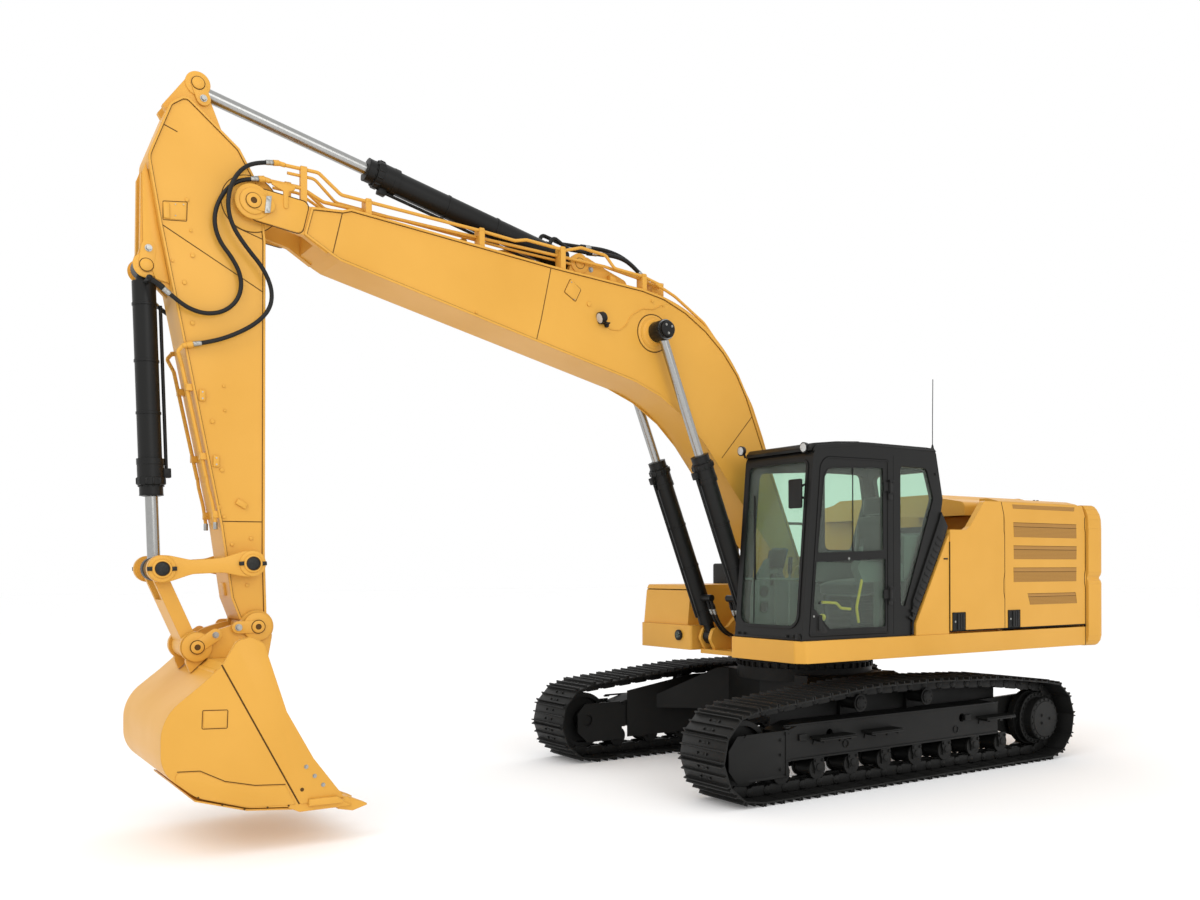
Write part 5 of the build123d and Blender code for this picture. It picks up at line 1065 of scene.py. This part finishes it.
def make_screens():
    """Perforated screens let into the doors, each under a folded lip; sheet and lip are painted darker than
    the machine's yellow as shade, with lines of painted shade along their edges.
    """
    for body, side, rows in (("left_rear_door", 1, ((-2692, -1606, -2686, -1596, 2330, 2480),
            (-2690, -1604, -2694, -1600, 2100, 2240), (-2686, -1600, -2690, -1596, 1862, 2010),
            (-2700, -1872, -2668, -1832, 1622, 1738))), ("right_side_door", -1,
            ((-2660, -1640, -2660, -1640, 2320, 2420), (-2660, -1640, -2660, -1640, 2170, 2270),
            (-2660, -1640, -2660, -1640, 2020, 2120), (-2660, -1640, -2660, -1640, 1870, 1970)))):
        bm, lip, seam = bmesh.new(), bmesh.new(), bmesh.new()
        y = side * BODY_SIDE
        for low_x0, low_x1, x0, x1, z0, z1 in rows:
            fold = z1 - (z1 - z0) * (1 - SCREEN_SHARE)
            mid0, mid1 = low_x0 + (x0 - low_x0) * SCREEN_SHARE, low_x1 + (x1 - low_x1) * SCREEN_SHARE
            # perforated sheet, painted darker as shade
            prism(bm, ((low_x0, z0), (low_x1, z0), (mid1, fold), (mid0, fold)), y - side * 8,
                    y + side * 1.2)
            # folded lip, painted darker as shade
            prism(lip, ((mid0, fold), (mid1, fold), (x1, z1), (x0, z1)), y - side * 8, y + side * 1.6)
            # painted shade: brown lines at the fold and along the top of each slot
            strip(seam, ((mid0, fold), (mid1, fold)), y, y + side * 2.2, 5)
            strip(seam, ((x0, z1), (x1, z1)), y, y + side * 2.2, 4)
        finish(body + "_screens", body, SCREEN_IN_PAINTED_SHADE, bm)
        finish(body + "_screen_lips_in_painted_shade", body, LIP_IN_PAINTED_SHADE, lip)
        finish(body + "_screen_edge_shade", body, SEAM_SHADE, seam)
    bm = bmesh.new()
    # top screen, painted darker as shade
    prism(bm, ((-2648, 2624), (-1592, 2624), (-1575, 2668), (-2658, 2668)), 1428, 1437.2)
    finish("left_rear_door_top_screen", "left_rear_door", SCREEN_IN_PAINTED_SHADE, bm)


make_screens()


DECK_RIBS = 14                               # on the right deck
STRIP_RIBS = 14                              # on the strip behind the cab


def make_body_trim():
    """Folded edges, painted shade in the gaps round the doors, hood studs and the ribbed strip behind the
    cab.
    """
    bm = bmesh.new()
    for number in range(DECK_RIBS):
        x = 180 + number * 62
        block(bm, (x, x + 30), (-600, -480), (1360, 1366), 2)
    finish("body_trim", "house", YELLOW, bm)

    bm = bmesh.new()
    # black strips of painted shade in the gaps between doors, deck and counterweight; the upright ones step
    # at the waist
    for side, splits in ((1, (-1454, -602)), (-1, (-1422,))):
        y0, y1 = side * 1422, side * 1437
        for x in splits:
            if x < -1000:
                strip(bm, ((x, 1384), (x, 1690), (x + 16, 1760), (x + 16, 1890), (x, 1960), (x, 2340),
                        (x + 12, 2390), (x + 12, 2490), (x + 14, 2562), (x + 54, 2684)), y0, y1, 7)
            else:
                strip(bm, ((x, 1384), (x, 2270)), y0, y1, 7)
        strip(bm, ((-2848, 1384), (-604 if side > 0 else -1424, 1384)), y0, y1, 9)
        strip(bm, ((-2853, 1160), (-2853, 1790), (-2838, 1850), (-2838, 1930), (-2853, 1990), (-2853, 2400),
                (-2842, 2450), (-2842, 2560)), y0, y1, 10)
    finish("door_gap_shade", "house", GAP_SHADE, bm)

    bm = bmesh.new()
    # front right box lamp and the hood's studs
    turned(bm, ((0, 0), (48, 0), (56, 8), (56, 26), (46, 32), (0, 30)), (1126, -700, 1308),
            (1226, -700, 1308), 28)
    for x, y in ((-2560, 1000), (-2620, 1000), (-2700, 700)):
        rod(bm, (x, y, 2690), (x, y, 2768), 14, 14, edge=3)
    # small rubber stops on the fixed panel behind the cab
    block(bm, (-575, -515), (1427, 1436), (2094, 2108), 3)
    # black strip along the cab's slanted rear, ribbed across
    prism(bm, ((-92, 1372), (-92, 1490), (-560, 2345), (-590, 2420), (-500, 2560), (-470, 2480),
            (-86, 1700), (-70, 1372)), 1404, 1422, 3)
    for number in range(STRIP_RIBS):
        share = (number + 0.5) / STRIP_RIBS
        x, z = -96 + (-540 + 96) * share, 1500 + (2330 - 1500) * share
        block(bm, (x + 18, x + 92), (1420, 1428), (z - 12, z + 12), 3, turn=-28)
    finish("body_black_parts", "house", PLASTIC, bm)

    bm = bmesh.new()
    turned(bm, ((0, 0), (42, 0), (36, 6), (0, 8)), (1157, -700, 1308), (1200, -700, 1308), 24)
    finish("box_lamp_lens", "house", GLASS, bm)


make_body_trim()


def make_hood_details():
    """Outlets and raised ribs on the engine hood."""
    bm = bmesh.new()
    # exhaust outlet and air intake cap
    turned(bm, ((60, 0), (72, 0), (72, 10), (64, 14), (64, 22), (58, 24), (58, 0)), (-2350, -480, 2790),
            (-2350, -480, 3000), 32)
    turned(bm, ((0, 0), (96, 0), (104, 8), (104, 22), (80, 40), (0, 44)), (-1620, -760, 2748),
            (-1620, -760, 3000), 32)
    finish("hood_outlets", "engine_hood", BLACK, bm)
    bm = bmesh.new()
    for y in (-560, 560):
        for number in range(18):
            x = -2600 + number * 66
            block(bm, (x, x + 34), (y - 90, y + 90), (2797, 2803), 2)
    for x in (-1300, -2700):
        block(bm, (x - 30, x + 30), (-700, 700), (2799, 2804), 2)
    finish("hood_ribs", "engine_hood", YELLOW, bm)


make_hood_details()


COUNTERWEIGHT_FRONT = -2876
COUNTERWEIGHT_PLAN = ((-2876, 1462), (-2876, -1462), (-3100, -1500, 90), (-3160, -1380, 110), (-3225, -900),
        (-3272, -350, 900), (-3272, 350, 900), (-3225, 900), (-3160, 1380, 110), (-3100, 1500, 90))
COUNTERWEIGHT_LEVELS = ((1151, 56), (1165, 34), (1205, 10), (1260, 0), (1835, 0), (1868, 8), (1885, 20),
        (1905, 20), (1925, 8), (1960, 0), (2440, 0), (2540, 4), (2600, 16), (2655, 40), (2686, 62),
        (2700, 86))


def make_counterweight():
    """Cast counterweight: drawn in along its top and foot, with a groove at mid height."""
    part = bmesh.new()
    flat(part, COUNTERWEIGHT_PLAN)
    swap = Matrix(((1, 0, 0, 0), (0, 0, 1, 0), (0, 1, 0, 0), (0, 0, 0, 1)))
    bmesh.ops.transform(part, matrix=swap, verts=part.verts[:])
    top, last = part.faces[:][0], (1, 1)
    for number, (z, draw) in enumerate(COUNTERWEIGHT_LEVELS):
        if number:
            grown = bmesh.ops.extrude_face_region(part, geom=[top])
            top = next(item for item in grown["geom"] if isinstance(item, bmesh.types.BMFace))
        size = (1 - draw / 396, 1 - draw / 1500)
        for v in top.verts:
            v.co = (COUNTERWEIGHT_FRONT + (v.co.x - COUNTERWEIGHT_FRONT) * size[0] / last[0],
                    v.co.y * size[1] / last[1], z)
        last = size
    bmesh.ops.recalc_face_normals(part, faces=part.faces[:])
    bm = bmesh.new()
    join(bm, part)
    # lifting eyes on the top
    for side in SIDES:
        for y in (720, 775):
            block(bm, (-3030, -2910), (side * y, side * (y + 25)), (2690, 2742), 8)
        peg(bm, (-2970, 2722), side * 730, side * 790, 13, 16)
    finish("counterweight_casting", "house", YELLOW, bm, smooth=50, replaces=("counterweight",))


def make_counterweight_details():
    """Plate and socket on the counterweight's back."""
    bm = bmesh.new()
    block(bm, (-3280, -3250), (-330, 330), (1300, 1560), 8)
    block(bm, (-3284, -3260), (-48, 48), (2330, 2410), 6)
    for y in (-290, 290):
        for z in (1330, 1530):
            bolt(bm, (-3279, y, z), 12, (-1, 0, 0))
    finish("counterweight_lamps", "house", PLASTIC, bm)


make_counterweight()
make_counterweight_details()


# ---------------------------------------------------------------- cab outside
def cab_front(z):
    """The cab's front leans back: its x at a height."""
    return 1352 - (z - 1360) * (1352 - 1200) / (3100 - 1360)


def make_cab_details():
    """Frames, gutters, lamps, mirror, wiper and aerial on the cab."""
    bm = bmesh.new()
    # windscreen frame: raised border with rounded corners, just proud of the front
    part = bmesh.new()
    rim(part, ((528, 1466, 130), (528, 3000, 70), (1353, 3000, 70), (1353, 1466, 130)), 0, 10, 26)
    bmesh.ops.transform(part, matrix=Matrix.Rotation(math.radians(90), 4, "Z"), verts=part.verts[:])
    for v in part.verts:
        v.co.x += cab_front(v.co.z) + 10
    join(bm, part)
    # front sill with bolts and the corner pivot
    block(bm, (1350, 1366), (500, 1400), (1366, 1384), 3)
    for y in (540, 620, 1215, 1300, 1340):
        bolt(bm, (1358, y, 1400), 11, (1, 0, 0))
    turned(bm, ((0, 0), (34, 0), (34, 16), (26, 22), (0, 22)), (1345, 1360, 1392), (1460, 1360, 1392), 24)
    # roof: front eyebrow, side gutters and the raised middle
    prism(bm, ((1215, 3070), (1225, 3095, 12), (1185, 3140, 30), (900, 3172), (600, 3190, 60), (560, 3170)),
            500, 1385, 6)
    prism(bm, ((560, 3168), (600, 3192, 40), (-380, 3192, 60), (-430, 3160)), 520, 1362, 6)
    for y0, y1 in ((1392, 1406), (486, 472)):
        prism(bm, ((1205, 3062), (1190, 3120, 60), (600, 3182), (-420, 3182, 60), (-440, 3150), (560, 3150),
                (1150, 3092)), y0, y1, 4)
    # border round the door's opening
    rim(bm, ((1262, 1400, 30), (1112, 3020, 130), (238, 3030, 30), (238, 1400, 30)), 1402, 1408, 12)
    finish("cab_frame_trim", "house", BLACK, bm)

    bm = bmesh.new()
    # painted shade: black strips in the gap round the door and along the seam of the cab's rear corner
    rim(bm, ((1270, 1392, 34), (1119, 3029, 136), (230, 3039, 34), (230, 1392, 34)), 1400, 1403.5, 8)
    strip(bm, ((168, 1385), (168, 3080)), 1400, 1403.5, 6)
    finish("cab_door_gap_shade", "house", GAP_SHADE, bm)

    bm = bmesh.new()
    # lamps on stalks at the front corners of the roof
    for x, y, z in ((1266, 470, 3140), (1230, 1300, 3100)):
        turned(bm, ((0, 0), (30, 0), (44, 14), (48, 46), (42, 50), (40, 44), (0, 44)), (x - 46, y, z + 6),
                (x + 60, y, z - 2), 28)
        rod(bm, (x - 30, y, z), (x - 60, y, z - 60), 11, 12)
    # mirror on its bracket
    block(bm, (1256, 1290), (1159, 1324), (2554, 2819), 14)
    block(bm, (1236, 1262), (1210, 1262), (2672, 2700), 6)
    # wiper arm and blade
    rod(bm, (cab_front(1500) + 16, 760, 1500), (cab_front(2300) + 18, 700, 2300), 7, 10)
    block(bm, (cab_front(2300) + 8, cab_front(2300) + 22), (690, 706), (1900, 2700), 3)
    for z0, z1 in ((1663, 1842), (2655, 2815)):
        block(bm, (190, 250), (1403, 1418), (z0, z1), 5)
    for x, z in ((1140, 1700), (-430, 2930)):
        peg(bm, (x, z), 1403, 1414, 12, 14, edge=2)
    finish("cab_fittings", "house", PLASTIC, bm)

    bm = bmesh.new()
    for x, y, z in ((1266, 470, 3140), (1230, 1300, 3100)):
        turned(bm, ((0, 0), (40, 0), (38, 5), (20, 10), (0, 11)), (x, y, z + 3), (x + 60, y, z - 2), 28)
    finish("roof_lamp_lenses", "house", LENS, bm)

    pipe("mirror_bracket", "house", BLACK, [[(1200, 1392, 2600), (1248, 1330, 2640), (1246, 1236, 2684)],
            [(1180, 1392, 2800), (1240, 1300, 2760), (1246, 1236, 2690)]], 10, bend=40)
    pipe("antenna", "house", PLASTIC, [[(-450, 1350, 3170), (-452, 1350, 3500), (-458, 1350, 3870)]], 4)
    bm = bmesh.new()
    turned(bm, ((0, 0), (18, 0), (16, 20), (7, 60), (0, 60)), (-450, 1350, 3165), (-450, 1350, 3300), 20)
    finish("antenna_foot", "house", PLASTIC, bm)


make_cab_details()


def make_door_details():
    """Gaskets, handle and lock of the cab door."""
    bm = bmesh.new()
    # black gasket borders round both panes, the sliding window's bar, and the lower handle tray
    for pane in (((1165, 2140, 30), (1070, 2930, 130), (300, 2965, 30), (300, 2170, 30)), ((1180, 2075, 20),
            (1215, 1640, 40), (1010, 1450, 30), (270, 1450, 30), (270, 2110, 20))):
        rim(bm, pane, 1396, 1406, 9)
    block(bm, (690, 702), (1386, 1392), (2150, 2950), 2)
    prism(bm, ((1262, 1425), (1235, 1640, 20), (1180, 1640, 40), (1040, 1440, 20), (1050, 1425)), 1402,
            1409, 4)
    block(bm, (1120, 1165), (1406, 1428), (1450, 1580), 10)
    block(bm, (1105, 1180), (1404, 1412), (1440, 1590), 6)
    finish("cab_door_trim", "cab_door", PLASTIC, bm)
    bm = bmesh.new()
    peg(bm, (1210, 1580), 1408, 1413, 10, 16, edge=2)
    peg(bm, (760, 2100), 1398, 1406, 12, 16, edge=2)
    finish("cab_door_key", "cab_door", ZINC, bm)


make_door_details()


# ---------------------------------------------------------------- cab inside
def cushion(name, x, y, z, crown, turn):
    """A stuffed pad: a box drawn in at its edges and crowned, with a sewn border."""
    bm = bmesh.new()
    bmesh.ops.create_cube(bm, size=1.0)
    bmesh.ops.subdivide_edges(bm, edges=bm.edges[:], cuts=9, use_grid_fill=True)
    size = Vector((x[1] - x[0], y[1] - y[0], z[1] - z[0]))
    middle = Vector(((x[0] + x[1]) / 2, (y[0] + y[1]) / 2, (z[0] + z[1]) / 2))
    thin = min(range(3), key=lambda i: size[i])
    others = [i for i in range(3) if i != thin]
    for v in bm.verts:
        a, b = (v.co[i] * 2 for i in others)
        swell = (1 - a ** 4) * (1 - b ** 4)
        pinch = 0.62 + 0.38 * swell ** 0.5
        v.co[thin] *= pinch * (1 + crown * swell)
        for i in others:
            v.co[i] *= 1 - 0.04 * (1 - abs(v.co[thin] * 2)) - 0.03 * (abs(a * b)) ** 3
    bmesh.ops.scale(bm, vec=size, verts=bm.verts[:])
    bmesh.ops.transform(bm, matrix=Matrix.Translation(middle) @ Matrix.Rotation(math.radians(turn), 4, "Y"),
            verts=bm.verts[:])
    piece = finish(name, "house", CLOTH, bm, smooth=60)
    smooth = piece.modifiers.new("smooth", "SUBSURF")
    smooth.levels = smooth.render_levels = 1
    return piece


MIDDLE = 940


def make_seat():
    """The operator's seat: three cushions on a folded stand."""
    base = cushion("seat_cushion", (-50, 480), (MIDDLE - 250, MIDDLE + 250), (1752, 1895), 0.18, 4)
    cushion("seat_back", (-150, 0), (MIDDLE - 235, MIDDLE + 235), (1890, 2530), 0.2, -6)
    cushion("seat_headrest", (-120, -30), (MIDDLE - 135, MIDDLE + 135), (2540, 2715), 0.2, -4)
    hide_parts("operator_seat")
    bm = bmesh.new()
    block(bm, (-20, 420), (MIDDLE - 150, MIDDLE + 150), (1406, 1750), 16)
    for number in range(5):
        z = 1440 + number * 56
        block(bm, (-30, 430), (MIDDLE - 160, MIDDLE + 160), (z, z + 34), 12)
    prism(bm, ((-70, 1750), (-20, 1750), (-120, 2540, 30), (-160, 2540, 30)), MIDDLE - 190, MIDDLE + 190,
            10)
    for side in SIDES:
        rod(bm, (-80, MIDDLE + side * 60, 2480), (-80, MIDDLE + side * 60, 2580), 7, 10)
        block(bm, (-40, 260), (MIDDLE + side * 262, MIDDLE + side * 275), (1700, 1760), 8)
    finish("seat_frame", "house", PLASTIC, bm)


def make_cab_inside():
    """Linings, console, levers, pedals and mat in the cab."""
    bm = bmesh.new()
    # right-hand wall lining with its curved console, and the rear parcel panel
    prism(bm, ((1230, 1410), (1210, 1860, 90), (1040, 2100, 60), (900, 2130, 60), (820, 1900, 80),
            (300, 1850, 80), (280, 1410)), 540, 610, 14)
    prism(bm, ((-40, 1500), (20, 1500), (-280, 2340, 60), (-400, 2360)), 560, 1330, 8)
    block(bm, (-300, -60), (1080, 1330), (1900, 2330), 24)
    block(bm, (20, 230), (1240, 1330), (1500, 2000), 30)
    finish("cab_lining", "house", TRIM, bm)
    bm = bmesh.new()
    for z in (1640, 1790):
        boss(bm, ((0, 0), (52, 0), (58, 6), (50, 10), (44, 6), (0, 4)), (1100, z), 610, 28)
    # display with a hood, its arm, keypad, joystick boots and grips
    block(bm, (985, 1015), (560, 800), (2010, 2190), 12, turn=-14)
    rod(bm, (1000, 600, 1850), (1000, 640, 2020), 18, 14)
    for side in SIDES:
        y = MIDDLE + side * 325
        turned(bm, ((48, 0), (40, 20), (44, 32), (32, 44), (34, 56), (20, 70), (14, 80), (14, 130),
                (22, 150), (26, 190), (22, 230), (10, 245), (0, 246)), (460, y, 2060), (460, y, 2300), 20)
        for number in range(4):
            block(bm, (120 + number * 60, 160 + number * 60), (y - 28, y + 28), (2068, 2080), 4)
    # travel levers with rubber grips and pedals
    for side in SIDES:
        y = MIDDLE + side * 75
        rod(bm, (1000, y, 1960), (985, y, 2120), 20, 16, edge=5)
        block(bm, (1040, 1200), (y - 55, y + 55), (1440, 1452), 5, turn=18)
        for number in range(5):
            block(bm, (1050 + number * 28, 1060 + number * 28), (y - 50, y + 50), (1452, 1462), 2, turn=18)
    # floor mat ribs and the grey bar across the lower screen
    for number in range(18):
        block(bm, (440, 900), (600 + number * 38, 616 + number * 38), (1405, 1411), 2)
    finish("cab_black_parts", "house", PLASTIC, bm)
    bm = bmesh.new()
    peg(bm, (1262, 1912), 500, 1380, 13, 16)
    finish("cab_cross_bar", "house", TRIM, bm)
    pipe("safety_lever", "house", SAFETY_YELLOW, [[(520, 1290, 1500), (560, 1300, 1640), (470, 1300, 1960),
            (420, 1290, 2010)], [(1000, 1300, 1700), (820, 1300, 1690), (760, 1300, 1640),
            (640, 1300, 1630)]], 13, bend=50)
    bm = bmesh.new()
    boss(bm, ((0, 0), (20, 0), (32, 12), (32, 34), (18, 46), (0, 48)), (960, 1560), 1240, 24)
    finish("door_release_knob", "house", SAFETY_YELLOW, bm)


make_seat()
make_cab_inside()


# ---------------------------------------------------------------- floor and light
def make_stage():
    """Pale floor, white sky and three soft lamps."""
    bm = bmesh.new()
    bmesh.ops.create_grid(bm, x_segments=1, y_segments=1, size=90)
    mesh = bpy.data.meshes.new("floor")
    bm.to_mesh(mesh)
    bm.free()
    paper, tree, shader, place = begin("pale studio paper", Roughness=0.9, Emission_Color=colour("FFFFFF"),
            Emission_Strength=0.1)
    tint(tree, shader, noise(tree, place, 0.4, 2.0), "F4F4F4", "F1F1F1")
    mesh.materials.append(paper)
    floor = show("floor", mesh)

    world = bpy.data.worlds.new("studio")
    bpy.context.scene.world = world
    world.use_nodes = True
    sky = world.node_tree.nodes["Background"]
    sky.inputs["Color"].default_value = (1, 1, 1, 1)
    sky.inputs["Strength"].default_value = 1.0
    for name, place, target, size, power in (("key", (13, 5, 12), (3.5, 0, 1.5), 8, 480),
            ("side", (4, 16, 8), (2.5, 0, 1.5), 9, 560), ("rear", (-9, -8, 10), (0, 0, 1.5), 7, 160)):
        data = bpy.data.lights.new(name, "AREA")
        data.shape = "SQUARE"
        data.size = size
        data.energy = power
        line = Vector(target) - Vector(place)
        show(name, data).matrix_world = Matrix.Translation(place) @ line.to_track_quat("-Z",
                "Y").to_matrix().to_4x4()
    bpy.context.scene.view_settings.view_transform = "Standard"


make_stage()
